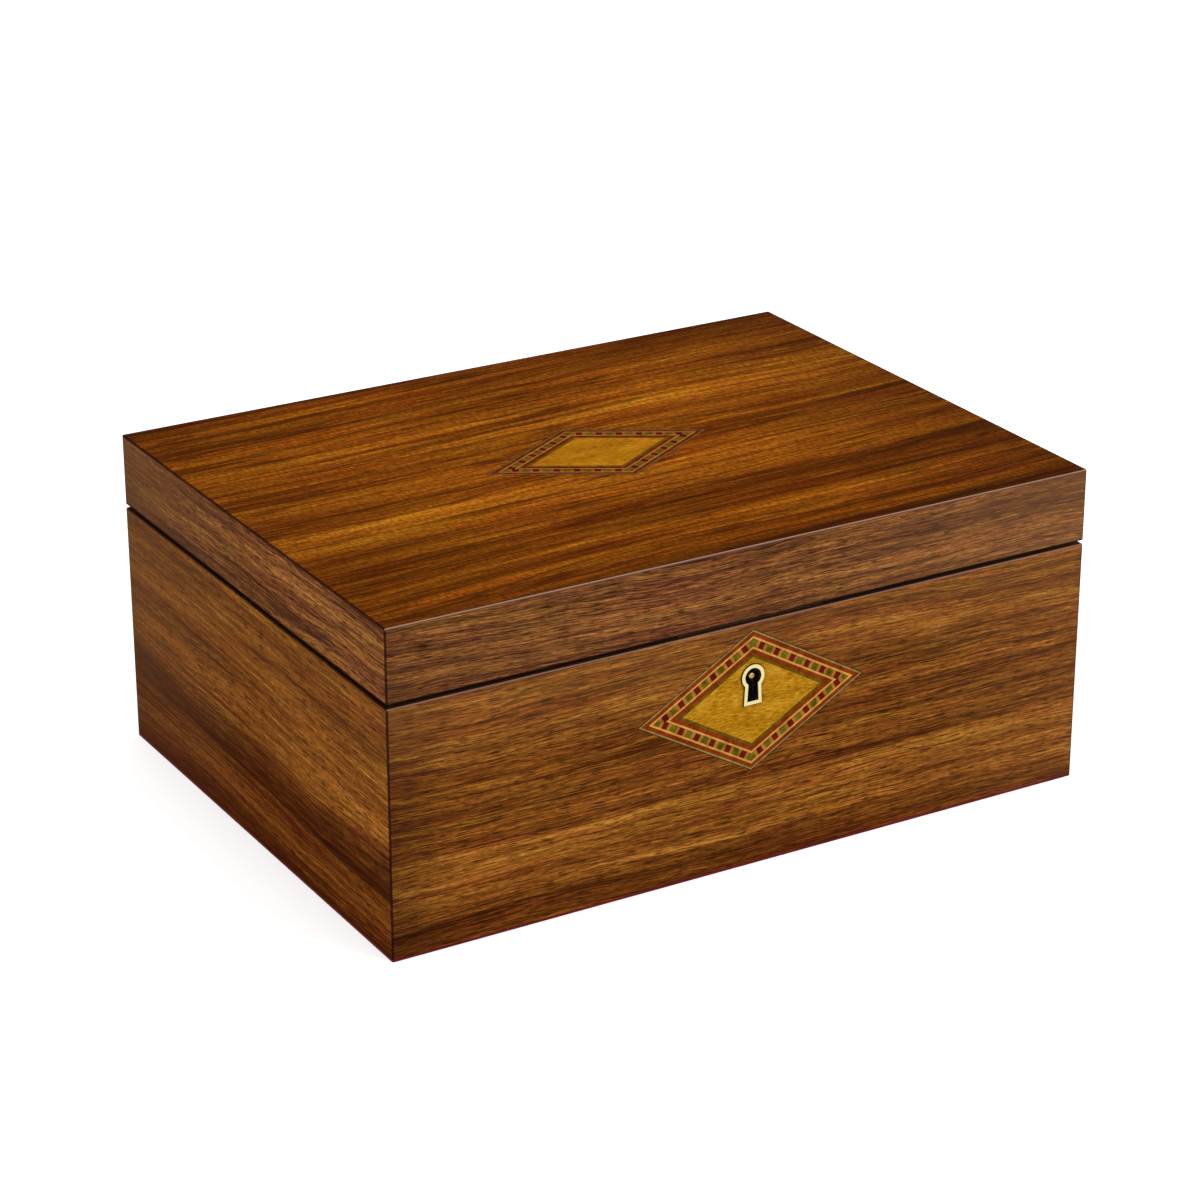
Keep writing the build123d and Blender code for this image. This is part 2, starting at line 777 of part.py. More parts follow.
def make_ring_rolls():
    """A foam bed across the front bay, and half-round rolls side by side on it."""
    x_low = -lined_width / 2 + fit_gap
    x_high = main_divider_left - fit_gap
    y_low = -lined_depth / 2 + fit_gap
    y_high = ring_divider_front - fit_gap
    bed_top = floor_top + ring_bed_height
    save("ring_bed", block(x_low, x_high, y_low, y_high, floor_top, bed_top))
    roll_width = (y_high - y_low - (ring_roll_count - 1) * ring_slot) / ring_roll_count
    radius = roll_width / 2
    side = ring_roll_height - radius
    section = make_face(
        Polyline((-radius, side), (-radius, 0), (radius, 0), (radius, side))
        + RadiusArc((radius, side), (-radius, side), -radius)
    )
    roll = extrude(Plane.YZ * section, x_high - x_low)
    for end in (roll.faces().sort_by(Axis.X)[0], roll.faces().sort_by(Axis.X)[-1]):
        upper = end.edges().filter_by(GeomType.CIRCLE)
        roll = fillet(upper, ring_roll_end_round)
    rolls = [
        Pos(x_low, y_low + radius + i * (roll_width + ring_slot), bed_top) * roll
        for i in range(ring_roll_count)
    ]
    save("ring_rolls", Compound(children=rolls))


def make_cover():
    """A clear plate that drops on two ledges over the movement, with a hole for the stop rod."""
    x_low, x_high = main_divider_right, lined_width / 2
    y_low, y_high = bay_divider_back, lined_depth / 2
    cover_top = cover_bottom + cover_thickness
    cover = block(
        x_low + fit_gap, x_high - fit_gap, y_low + fit_gap, y_high - fit_gap, cover_bottom, cover_top
    )
    cover -= rod(stop_rod_radius + 2 * fit_gap, *stop_rod_place(), cover_bottom - 1, cover_top + 1)
    save("movement_cover", cover)
    ledges = [
        block(x_low, x_low + ledge_size, y_low, y_high, cover_bottom - ledge_size, cover_bottom),
        block(x_high - ledge_size, x_high, y_low, y_high, cover_bottom - ledge_size, cover_bottom),
    ]
    save("cover_ledges", Compound(children=ledges))


# Toothed wheels
def gear_face(teeth, module, phase):
    """A spur wheel's outline in XY, with a tooth centred at the phase angle, in radians."""
    pitch_radius = teeth * module / 2
    base_radius = pitch_radius * cos(radians(pressure_angle))
    tip_radius = pitch_radius + addendum * module
    root_radius = pitch_radius - dedendum * module

    def involute(radius):
        return sqrt(max((radius / base_radius) ** 2 - 1, 0)) - atan2(
            sqrt(max(radius**2 - base_radius**2, 0)), base_radius
        )

    half_at_pitch = pi / (2 * teeth) * (1 - backlash)

    def half_angle(radius):
        return half_at_pitch + involute(pitch_radius) - involute(max(radius, base_radius))

    points = []
    for i in range(teeth):
        centre = phase + 2 * pi * i / teeth
        flank = [(r, half_angle(r)) for r in (root_radius, pitch_radius, tip_radius)]
        for r, half in flank:
            points.append((r * cos(centre - half), r * sin(centre - half)))
        for r, half in reversed(flank):
            points.append((r * cos(centre + half), r * sin(centre + half)))
    return flat(points)


def spur(teeth, module, phase, x_low, x_high, y, z):
    """A spur wheel on an axis along X. Its angles run from +Y towards +Z."""
    face = Plane.YZ * gear_face(teeth, module, phase)
    return Pos(x_low, y, z) * extrude(face, x_high - x_low)


# Places in the movement, measured from its own origin
crown_radius = crown_teeth * crown_module / 2
pinion_radius = cylinder_pinion_teeth * crown_module / 2
crown_disc_bottom = bed_thickness + spring_housing_height + great_wheel_room
crown_tooth_root = crown_disc_bottom + crown_disc_thickness
crown_tooth_tip = crown_tooth_root + (addendum + dedendum) * crown_module
arbor_height = crown_tooth_root + dedendum * crown_module + pinion_radius
hub_top = crown_tooth_tip + great_hub_rise
bridge_right = cylinder_left - 2 * frame_clearance
bridge_left = bridge_right - frame_plate
pinion_x = bridge_left - cylinder_pinion_room - cylinder_pinion_face
spring_x = pinion_x + cylinder_pinion_face / 2 - crown_radius
cylinder_wheel_x = cylinder_left + cylinder_length + frame_clearance
cylinder_wheel_radius = cylinder_wheel_teeth * train_module / 2
governor_pinion_radius = governor_pinion_teeth * train_module / 2
governor_wheel_radius = governor_wheel_teeth * train_module / 2
train_distance = cylinder_wheel_radius + governor_pinion_radius
governor_wheel_tip = governor_wheel_radius + addendum * train_module
governor_z = bed_thickness + frame_plate + governor_wheel_room + governor_wheel_tip
governor_slope = asin((arbor_height - governor_z) / train_distance)
governor_y = train_distance * cos(governor_slope)
left_plate_x = cylinder_wheel_x + wheel_face + wheel_side_room
governor_wheel_x = left_plate_x + frame_plate + frame_clearance
worm_x = governor_wheel_x + wheel_face / 2
worm_y = governor_y + governor_wheel_radius + worm_core_radius + worm_throw / 2 + running_clearance
right_plate_x = worm_x + worm_core_radius + worm_throw + frame_clearance
worm_lead = pi * train_module
brake_reach = worm_y - brake_radius - governor_y
brake_rise = sqrt((governor_wheel_tip + frame_clearance) ** 2 - brake_reach**2)
brake_height = governor_z + max(brake_rise, worm_length / 2) + brake_thickness / 2
fan_bottom = brake_height + brake_thickness / 2 + fan_clearance
fan_top = fan_bottom + fan_height
frame_top = fan_top + fan_clearance
lever_x = right_plate_x + frame_plate + frame_clearance
lever_pivot_y = worm_y + brake_radius + stop_gap + finger_width / 2
stop_swing = 2 * asin(stop_travel / 2 / stop_arm)


def placed(shape):
    """Carries a piece of the movement from its own origin to its place in the box."""
    return Pos(movement_x, movement_y, floor_top) * shape


def stop_arm_end():
    """The lever's low end while the lid is shut. It swings up evenly about the level."""
    reach = stop_arm * cos(stop_swing / 2)
    return lever_pivot_y - reach, lever_pivot_z - stop_travel / 2


def stop_rod_place():
    return movement_x + lever_x + lever_thickness / 2, movement_y + stop_arm_end()[0]


def comb_screw_places():
    y = -comb_root(0) - comb_base_depth / 2
    middle = comb_middle()
    spread = comb_teeth * comb_pitch / 3
    return [(middle - spread, y), (middle + spread, y)]


def comb_middle():
    return cylinder_left + cylinder_length / 2


def comb_root(share):
    """How far in front of the arbor the teeth spring from the base, from bass at 0 to treble at 1."""
    tip = cylinder_radius + pin_height + comb_tip_gap
    return tip + comb_bass_length + share * (comb_treble_length - comb_bass_length)


def make_bed():
    width = bed_left + bed_right
    depth = bed_front + bed_back
    plan = Pos((bed_right - bed_left) / 2, (bed_back - bed_front) / 2) * RectangleRounded(
        width, depth, bed_corner_radius
    )
    bed = extrude(plan, bed_thickness)
    half_comb = comb_teeth * comb_pitch / 2
    base_front = -comb_root(0) - comb_base_depth
    rest_top = arbor_height - comb_tooth_thickness / 2
    bed += block(
        comb_middle() - half_comb, comb_middle() + half_comb, base_front, -comb_root(0),
        bed_thickness / 2, rest_top,
    )
    bed -= rod(winding_arbor_radius + running_clearance, spring_x, 0, -1, bed_thickness + 1)
    for x, y in comb_screw_places():
        bed -= Pos(x, y, rest_top + comb_base_thickness) * screw(comb_screw)
    bed -= rod(
        pivot_radius + running_clearance, worm_x, worm_y,
        bed_thickness - pivot_depth - running_clearance, bed_thickness + 1,
    )
    bed = placed(bed)
    bed -= bed_screws()
    save("movement_bedplate", bed)
    save("movement_screws", Compound(children=bed_screws()))


def make_comb():
    """Eighteen steel teeth of graded length, cut from one plate with a thicker base."""
    rest_top = arbor_height - comb_tooth_thickness / 2
    tip = cylinder_radius + pin_height + comb_tip_gap
    left = comb_middle() - comb_teeth * comb_pitch / 2
    right = comb_middle() + comb_teeth * comb_pitch / 2
    base_front = -comb_root(0) - comb_base_depth
    base = extrude(
        flat([(left, base_front), (right, base_front), (right, -comb_root(0)), (left, -comb_root(0))]),
        comb_base_thickness,
    )
    lap = -comb_root(0) - comb_shoulder_lap
    shoulder = extrude(
        flat([(left, lap), (right, lap), (right, -comb_root(1)), (left, -comb_root(0))]),
        comb_tooth_thickness,
    )
    comb = base + shoulder
    for i in range(comb_teeth):
        x = left + (i + 0.5) * comb_pitch
        root = comb_root((i + 0.5) / comb_teeth) + comb_tooth_lap
        comb += block(
            x - comb_tooth_width / 2, x + comb_tooth_width / 2, -root, -tip, 0, comb_tooth_thickness
        )
    comb = Pos(0, 0, rest_top) * comb
    screws = [
        Pos(x, y, rest_top + comb_base_thickness) * screw(comb_screw) for x, y in comb_screw_places()
    ]
    save("comb", placed(comb - screws))
    save("comb_screws", placed(Compound(children=screws)))


def make_cylinder():
    """A brass sleeve on its arbor, set with a tune's pins: each tooth of the comb has its own row."""
    left, right = cylinder_left, cylinder_left + cylinder_length
    sleeve = rod_x(cylinder_radius, left, right, 0, arbor_height)
    for x_low, x_high in ((left - 1, left + cylinder_wall), (right - cylinder_wall, right + 1)):
        sleeve -= rod_x(cylinder_radius - cylinder_wall, x_low, x_high, 0, arbor_height)
    pins = []
    for tooth in range(comb_teeth):
        x = comb_middle() + (tooth - (comb_teeth - 1) / 2) * comb_pitch
        for k in range(notes_per_tooth):
            step = (tooth * tooth_stride + k * note_stride + (tooth * k) % 3) % tune_steps
            angle = 360 * (step + 0.5) / tune_steps
            pin = Pos(0, 0, cylinder_radius) * Box(pin_width, pin_width, 2 * pin_height)
            pins.append(Pos(x, 0, arbor_height) * Rot(angle, 0, 0) * pin)
    sleeve = sleeve + pins
    sleeve -= rod_x(arbor_radius, left - 1, right + 1, 0, arbor_height)
    save("cylinder", placed(sleeve))

    # The arbor carries a pinion that the crown wheel drives, and a wheel that drives the governor.
    arbor = rod_x(arbor_radius, pinion_x, left_plate_x + frame_plate, 0, arbor_height)
    arbor += spur(
        cylinder_pinion_teeth, crown_module, -pi / 2,
        pinion_x, pinion_x + cylinder_pinion_face, 0, arbor_height,
    )
    arbor += spur(
        cylinder_wheel_teeth, train_module, -governor_slope,
        cylinder_wheel_x, cylinder_wheel_x + wheel_face, 0, arbor_height,
    )
    save("cylinder_arbor", placed(arbor))

    # The left bearing stands between the pinion and the cylinder.
    half = bearing_hub_radius
    bridge = block(bridge_left, bridge_right, -half, half, bed_thickness, arbor_height)
    bridge += rod_x(half, bridge_left, bridge_right, 0, arbor_height)
    bridge += block(
        bridge_left, bridge_left + bridge_foot, -half, half, bed_thickness, bed_thickness + frame_plate
    )
    bore = arbor_radius + running_clearance
    bridge -= rod_x(bore, bridge_left - 1, bridge_right + 1, 0, arbor_height)
    save("cylinder_bridge", placed(bridge))


def make_spring_drive():
    base = bed_thickness
    housing_top = base + spring_housing_height
    bore = winding_arbor_radius + running_clearance
    housing = rod(spring_housing_radius, spring_x, 0, base, housing_top)
    housing -= rod(
        spring_housing_radius - spring_housing_wall, spring_x, 0,
        base - 1, housing_top - spring_housing_wall,
    )
    housing -= rod(bore, spring_x, 0, base, housing_top + 1)
    save("spring_housing", placed(housing))

    # The mainspring is a flat strip, wound from the arbor out to the housing's wall.
    save("mainspring", placed(mainspring()))

    # The great wheel has crown teeth on its rim, which stand up into the cylinder's pinion.
    rim = crown_radius + crown_face / 2
    wheel = rod(rim, 0, 0, crown_disc_bottom, crown_tooth_tip)
    wheel -= rod(rim - crown_face, 0, 0, crown_tooth_root, crown_tooth_tip + 1)
    wheel += rod(great_hub_radius, 0, 0, housing_top + wheel_gap, hub_top)
    tooth_pitch = 2 * pi / crown_teeth
    height = crown_tooth_tip - crown_tooth_root
    slope = tan(radians(pressure_angle))
    half_pitch_gap = crown_radius * tooth_pitch / 4 * (1 + backlash)
    half_root_gap = half_pitch_gap - dedendum * crown_module * slope
    half_tip_gap = half_pitch_gap + (height - dedendum * crown_module + 1) * slope
    top = height + 1
    profile = flat([(-half_root_gap, 0), (half_root_gap, 0), (half_tip_gap, top), (-half_tip_gap, top)])
    gap = Pos(rim - 2 * crown_face, 0, crown_tooth_root) * extrude(Plane.YZ * profile, 3 * crown_face)
    wheel -= [Rot(0, 0, 360 * i / crown_teeth) * gap for i in range(crown_teeth)]
    wheel -= rod(bore, 0, 0, 0, arbor_height)
    save("great_wheel", placed(Pos(spring_x, 0, 0) * wheel))

    # The winding arbor runs from the key in the well up through the spring, with a collar on top.
    key_top = -key_below_bed
    wing_top = key_top - key_hub_rise
    wing_middle = wing_top - key_wing_height / 2
    arbor_foot = key_top - key_socket_depth
    collar = hub_top + wheel_gap
    arbor = rod(winding_arbor_radius, spring_x, 0, arbor_foot, collar + collar_height)
    arbor += rod(collar_radius, spring_x, 0, collar, collar + collar_height)
    save("winding_arbor", placed(arbor))

    # The key is a hub with two flat wings, each with a hole near its round end.
    bow = SlotOverall(key_wing_span, key_wing_height)
    for s in (-1, 1):
        bow -= Pos(s * (key_wing_span - key_wing_height) / 2, 0) * Circle(key_wing_height / 4)
    wings = Rot(90, 0, 0) * extrude(bow, key_wing_thickness / 2, both=True)
    key = rod(key_hub_radius, spring_x, 0, wing_top - key_wing_height, key_top)
    key += Pos(spring_x, 0, wing_middle) * wings
    key -= rod(winding_arbor_radius, spring_x, 0, arbor_foot, key_top + 1)
    save("winding_key", placed(key))


def mainspring():
    """Half turns about two centres by turns, each wider than the last by the same growth."""
    inner = winding_arbor_radius + running_clearance
    outer = spring_housing_radius - spring_housing_wall - running_clearance
    halves = 2 * mainspring_turns
    growth = (outer - inner - mainspring_strip) / halves
    strip = None
    for i in range(halves):
        radius = inner + i * growth
        ring = Circle(radius + mainspring_strip) - Circle(radius)
        side = 1 if i % 2 == 0 else -1
        half = Pos(0, side * outer) * Rectangle(4 * outer, 2 * outer)
        piece = Pos(growth * (i % 2), 0) * (ring & half)
        strip = piece if strip is None else strip + piece
    height = spring_housing_height - 2 * spring_housing_wall
    return Pos(spring_x, 0, bed_thickness + spring_housing_wall) * extrude(strip, height)


def make_governor():
    """Two plates and a top arm carry the governor's arbor and the fan's upright shaft."""
    # The left plate is a leaf that runs from the cylinder's bearing down to the governor's.
    hub = bearing_hub_radius
    edge = sin(governor_slope) * hub, cos(governor_slope) * hub
    plate = flat([
        (-hub, bed_thickness), (-hub, arbor_height), (edge[0], arbor_height + edge[1]),
        (governor_y + edge[0], governor_z + edge[1]), (governor_y + hub, governor_z),
        (governor_y + hub, bed_thickness),
    ])
    plate += Pos(0, arbor_height) * Circle(hub)
    plate += Pos(governor_y, governor_z) * Circle(hub)
    frame = Pos(left_plate_x, 0, 0) * extrude(Plane.YZ * plate, frame_plate)

    # The right plate stays low under the fan, and a post behind the fan carries the top arm.
    post_front = worm_y + fan_radius + fan_clearance
    post_back = post_front + post_width
    arm_top = frame_top + frame_plate
    plate = flat([
        (governor_y - hub, bed_thickness), (governor_y - hub, governor_z),
        (governor_y + hub, governor_z), (lever_pivot_y, lever_pivot_z + hub),
        (post_front, lever_pivot_z + hub), (post_front, arm_top),
        (post_back, arm_top), (post_back, bed_thickness),
    ])
    plate += Pos(governor_y, governor_z) * Circle(hub)
    frame += Pos(right_plate_x, 0, 0) * extrude(Plane.YZ * plate, frame_plate)
    frame += block(
        left_plate_x, right_plate_x + frame_plate, governor_y - hub, governor_y + hub,
        bed_thickness, bed_thickness + frame_plate,
    )
    right_side = right_plate_x + frame_plate
    frame += block(worm_x, right_side, worm_y, post_back, frame_top, arm_top)
    frame += rod(right_side - worm_x, worm_x, worm_y, frame_top, arm_top)
    bore = pivot_radius + running_clearance
    frame -= rod_x(
        arbor_radius + running_clearance, left_plate_x - 1, left_plate_x + frame_plate + 1,
        0, arbor_height,
    )
    frame -= rod_x(bore, left_plate_x - 1, right_side + 1, governor_y, governor_z)
    frame -= rod_x(bore, right_plate_x - 1, right_side + 1, lever_pivot_y, lever_pivot_z)
    frame -= rod(bore, worm_x, worm_y, frame_top - 1, arm_top + 1)
    save("governor_frame", placed(frame))

    arbor = rod_x(pivot_radius, cylinder_wheel_x, right_plate_x + frame_plate, governor_y, governor_z)
    mesh = pi - governor_slope + pi / governor_pinion_teeth
    arbor += spur(
        governor_pinion_teeth, train_module, mesh,
        cylinder_wheel_x, left_plate_x - wheel_gap, governor_y, governor_z,
    )
    arbor += spur(
        governor_wheel_teeth, train_module, 0,
        governor_wheel_x, governor_wheel_x + wheel_face, governor_y, governor_z,
    )
    save("governor_wheel", placed(arbor))

    # The endless screw is an off-centre circle twisted along the shaft.
    section = (Pos(0, worm_throw) * Circle(worm_core_radius)).face()
    turns = worm_length / worm_lead
    endless = Solid.extrude_linear_with_rotation(section, (0, 0, 0), (0, 0, worm_length), 360 * turns)
    endless = Pos(worm_x, worm_y, governor_z - worm_length / 2) * Rot(0, 0, -180 * turns) * endless
    shaft = rod(pivot_radius, worm_x, worm_y, bed_thickness - pivot_depth, arm_top)
    shaft += endless
    shaft += rod(
        brake_radius, worm_x, worm_y,
        brake_height - brake_thickness / 2, brake_height + brake_thickness / 2,
    )
    save("fan_shaft", placed(shaft))

    fan = block(-fan_radius, fan_radius, -fan_blade / 2, fan_blade / 2, fan_bottom, fan_top)
    fan += rod(fan_hub_radius, 0, 0, fan_bottom, fan_top)
    fan -= rod(pivot_radius, 0, 0, fan_bottom - 1, fan_top + 1)
    save("fan", placed(Pos(worm_x, worm_y, 0) * fan))


def make_stop():
    """The lid holds the rod down, and its lever then keeps a finger against the fan's brake disc."""
    pivot = (lever_pivot_y, lever_pivot_z)
    arm_end = stop_arm_end()

    def link(end):
        length = hypot(end[0] - pivot[0], end[1] - pivot[1])
        angle = degrees(atan2(end[1] - pivot[1], end[0] - pivot[0]))
        bar = Pos(length / 2, 0) * Rectangle(length, lever_width)
        return Pos(*pivot) * Rot(0, 0, angle) * bar

    plan = link(arm_end) + link((pivot[0], brake_height))
    plan += Pos(*pivot) * Circle(lever_hub_radius)
    plan += Pos(*arm_end) * Circle(lever_tip_radius)
    lever = Pos(lever_x, 0, 0) * extrude(Plane.YZ * plan, lever_thickness)
    finger_front = worm_y + brake_radius + stop_gap
    lever += block(
        worm_x - lever_thickness, lever_x + lever_thickness, finger_front, finger_front + finger_width,
        brake_height - brake_thickness / 2, brake_height + brake_thickness / 2,
    )
    lever += rod_x(pivot_radius, right_plate_x, lever_x + lever_thickness, *pivot)
    save("stop_lever", placed(lever))

    x, y = stop_rod_place()
    foot = floor_top + arm_end[1] + lever_tip_radius + stop_gap
    save("stop_rod", rod(stop_rod_radius, x, y, foot, lid_lining_bottom - stop_gap))


make_case()
make_front_inlay()
make_lock()
make_hinges()
make_lid()
make_strike()
make_lining()
make_dividers()
make_ring_rolls()
make_cover()
make_bed()
make_comb()
make_cylinder()
make_spring_drive()
make_governor()
make_stop()
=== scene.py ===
"""Dresses a musical jewelry box of figured walnut veneer, with diamond inlays, a brass keyhole,
a felted base, a velvet interior and a clockwork musical movement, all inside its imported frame."""

import math

import bmesh
import bpy
from mathutils import Matrix, Vector


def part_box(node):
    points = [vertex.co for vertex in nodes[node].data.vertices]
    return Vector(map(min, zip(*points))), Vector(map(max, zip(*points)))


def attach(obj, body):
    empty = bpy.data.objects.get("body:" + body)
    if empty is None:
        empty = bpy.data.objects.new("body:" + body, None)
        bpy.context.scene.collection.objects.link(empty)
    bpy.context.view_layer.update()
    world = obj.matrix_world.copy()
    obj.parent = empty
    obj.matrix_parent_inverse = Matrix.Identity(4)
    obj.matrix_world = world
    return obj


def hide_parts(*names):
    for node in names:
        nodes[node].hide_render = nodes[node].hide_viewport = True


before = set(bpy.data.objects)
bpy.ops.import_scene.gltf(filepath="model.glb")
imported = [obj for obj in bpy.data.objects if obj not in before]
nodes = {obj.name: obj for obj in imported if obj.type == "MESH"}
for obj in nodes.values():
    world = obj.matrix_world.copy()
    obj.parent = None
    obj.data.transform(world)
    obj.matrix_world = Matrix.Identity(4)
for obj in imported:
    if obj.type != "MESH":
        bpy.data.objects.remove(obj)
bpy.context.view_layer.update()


# Studio. A white sweep carries the box, and has an opening under it through which its underside
# can be seen. Soft boxes light it from above and from both sides, and a long lens looks down on its
# front left corner, as a catalogue photograph is taken.
camera_azimuth = math.radians(-30.60)
camera_elevation = math.radians(22.93)
camera_place = (-0.56540, -0.95709, 0.52812)
camera_lens = 106.86
sweep_reach = 6.0
sweep_lap = 0.002  # how far the box's edges lie on the sweep
sweep_drop = 0.00005  # how far the sweep lies below the felt
sweep_white = (0.93, 0.93, 0.93, 1)
sweep_glow = 0.40
world_light = 0.66
lamp_aim = Vector((0, 0, 0.05))


def shader(name):
    """A new material, its node tree and its surface shader."""
    material = bpy.data.materials.new(name)
    material.use_nodes = True
    tree = material.node_tree
    return material, tree, tree.nodes["Principled BSDF"]


def put(tree, kind, sockets=None, **settings):
    """Adds a node, sets its properties, and sets or links its sockets."""
    made = tree.nodes.new(kind)
    for key, value in settings.items():
        setattr(made, key, value)
    for key, value in (sockets or {}).items():
        if isinstance(value, bpy.types.NodeSocket):
            tree.links.new(value, made.inputs[key])
        else:
            made.inputs[key].default_value = value
    return made


def reckon(tree, operation, *values):
    """A Math node over values or sockets. Gives its output socket."""
    return put(tree, "ShaderNodeMath", dict(enumerate(values)), operation=operation).outputs[0]


def spread(tree, value, low, high, to_low=0.0, to_high=1.0):
    """Carries a range of values to another, clamped at both ends."""
    return put(tree, "ShaderNodeMapRange", {
        "Value": value, "From Min": low, "From Max": high, "To Min": to_low, "To Max": to_high,
    }).outputs[0]


world = bpy.data.worlds.new("studio")
world.use_nodes = True
bpy.context.scene.world = world
tree = world.node_tree
path = put(tree, "ShaderNodeLightPath")
looked_at = reckon(tree, "ADD", path.outputs["Is Camera Ray"], path.outputs["Is Glossy Ray"])
looked_at = reckon(tree, "ADD", looked_at, path.outputs["Is Transmission Ray"])
backdrop = tree.nodes["Background"]
backdrop.inputs["Color"].default_value = (1, 1, 1, 1)
tree.links.new(spread(tree, looked_at, 0.0, 1.0, world_light, 1.0), backdrop.inputs["Strength"])

shape = bmesh.new()
lowered = Matrix.Translation((0, 0, -sweep_drop))
bmesh.ops.create_grid(shape, x_segments=1, y_segments=1, size=sweep_reach, matrix=lowered)
base_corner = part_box("felt_base")[1]
opening = shape.faces[:][0]
margin = sweep_reach - base_corner.x + sweep_lap
bmesh.ops.inset_individual(shape, faces=[opening], thickness=margin, use_even_offset=True)
for vert in opening.verts:
    vert.co.y = math.copysign(base_corner.y - sweep_lap, vert.co.y)
bmesh.ops.delete(shape, geom=[opening], context="FACES_ONLY")
mesh = bpy.data.meshes.new("sweep")
shape.to_mesh(mesh)
shape.free()
sweep = bpy.data.objects.new("sweep", mesh)
bpy.context.collection.objects.link(sweep)
material, tree, surface = shader("white_sweep")
surface.inputs["Base Color"].default_value = sweep_white
surface.inputs["Roughness"].default_value = 1.0
surface.inputs["Specular IOR Level"].default_value = 0.0
surface.inputs["Emission Color"].default_value = (1, 1, 1, 1)
path = put(tree, "ShaderNodeLightPath")
glow = reckon(tree, "MULTIPLY", path.outputs["Is Camera Ray"], sweep_glow)
tree.links.new(glow, surface.inputs["Emission Strength"])
mesh.materials.append(material)


def soft_box(name, place, size, power):
    """A rectangular lamp turned towards the box."""
    lamp = bpy.data.lights.new(name, "AREA")
    lamp.shape = "RECTANGLE"
    lamp.size, lamp.size_y = size
    lamp.energy = power
    holder = bpy.data.objects.new(name, lamp)
    facing = (lamp_aim - Vector(place)).to_track_quat("-Z", "Y")
    holder.matrix_world = Matrix.Translation(place) @ facing.to_matrix().to_4x4()
    bpy.context.collection.objects.link(holder)


soft_box("overhead", (0.1, 0.1, 1.6), (1.6, 1.2), 8.0)
soft_box("front_right", (1.1, -1.5, 0.9), (1.0, 1.2), 15.0)
soft_box("left_fill", (-1.7, -0.2, 0.8), (0.9, 1.2), 7.0)

lens = bpy.data.cameras.new("photographer")
lens.lens = camera_lens
lens.sensor_width = 36.0
lens.clip_start = 0.05
camera = bpy.data.objects.new("photographer", lens)
behind = Vector((
    math.sin(camera_azimuth) * math.cos(camera_elevation),
    -math.cos(camera_azimuth) * math.cos(camera_elevation),
    math.sin(camera_elevation),
))
sideways = Vector((math.cos(camera_azimuth), math.sin(camera_azimuth), 0))
turn = Matrix((sideways, behind.cross(sideways), behind)).transposed().to_4x4()
camera.matrix_world = Matrix.Translation(camera_place) @ turn
bpy.context.collection.objects.link(camera)
bpy.context.scene.camera = camera
bpy.context.scene.view_settings.view_transform = "Standard"


# Case. Four mitred boards are each faced with a leaf of satin-lacquered walnut veneer. A leaf has
# broad ribbons across the grain, long streaks, dark veins, mottled flecks and short open pores.
to_mm = 1000.0
noise_range = (0.3, 0.7)  # where nearly all values of a noise lie
pore_colour = (0.022, 0.007, 0.002)
# Dark for the veins and seams, and also for painted shade towards some ends and edges and round the
# keyhole's insert.
vein_and_shade = (0.034, 0.008, 0.001)
seam_and_shade = (0.014, 0.004, 0.003)
# A painted shade on the rims that meet at the parting gap.
painted_rim_shade = (0.020, 0.008, 0.006)
# A painted highlight along eased edges, where a rounded edge would catch the light.
painted_edge_highlight = (0.300, 0.170, 0.120)
# Darker and redder towards the bottom of the leaves.
dark_red_foot = (0.058, 0.006, 0.001)
# A painted shade, greyed like a faint reflection, towards the rear and top of the end leaves.
painted_hazy_shade = (0.114, 0.050, 0.022)
# A painted sheen, standing in for a broad reflection of light in the lacquer.
painted_sheen = (0.230, 0.112, 0.050)
# A painted shade along the parting gap between lid and case.
painted_gap_shade = (0.006, 0.002, 0.001)
seam_width = 0.5
seam_core = 0.6  # the share of a seam's width that is fully dark
seam_strength = 0.85
line_core = 0.7
rim_depth = 0.06
# The width of the painted highlight along eased edges.
highlight_width = 0.45
grain_depth = 0.00008

# Lengths and widths of the marks in the wood, in millimetres, and the values between which a noise
# becomes a mark.
wander_size = (150, 60)
wander_reach = 9.0
ripple_size = (26, 12)
ripple_reach = 2.2
figure_roughness = 0.55
thread_size = (15, 0.40)
thread_edges = (0.43, 0.57)
fleck_slant = 0.4
mottled_tones = (0.2, 0.7)
mottling = (0.3, 1.6)  # its share in the dark and in the light wood
drift_size = (60, 5.0)
drift_hues = (0.489, 0.504)
vein_sizes = ((260, 9.0), (120, 3.6))
vein_edges = (0.004, 0.024)
pore_size = (6.0, 0.38)
pore_edges = (0.55, 0.62)
fibre_size = (12, 0.5)
fibre_polish = (-0.06, 0.10)

# Each kind of mark reads its own slice of the noise, this far past its leaf's seed.
figure_slice = 2.3
wander_slice = 3.1
ripple_slice = 4.7
fleck_slice = 17.9
vein_slice = 19.0
pore_slice = 23.0
fibre_slice = 29.0
drift_slice = 31.0
thread_slice = 41.0


def ramp(tree, value, stops):
    """A colour ramp over a value, from (position, colour or grey) pairs."""
    made = put(tree, "ShaderNodeValToRGB", {0: value})
    elements = made.color_ramp.elements
    while len(elements) < len(stops):
        elements.new(1.0)
    for element, (position, colour) in zip(elements, stops):
        element.position = position
        element.color = (*colour, 1) if isinstance(colour, tuple) else (colour, colour, colour, 1)
    return made.outputs[0]


def blended(tree, share, below, above):
    """Mixes two colours, either of them a socket or a plain colour."""
    colours = {
        key: colour if isinstance(colour, bpy.types.NodeSocket) else (*colour, 1)
        for key, colour in ((6, below), (7, above))
    }
    return put(tree, "ShaderNodeMix", {0: share, **colours}, data_type="RGBA").outputs[2]


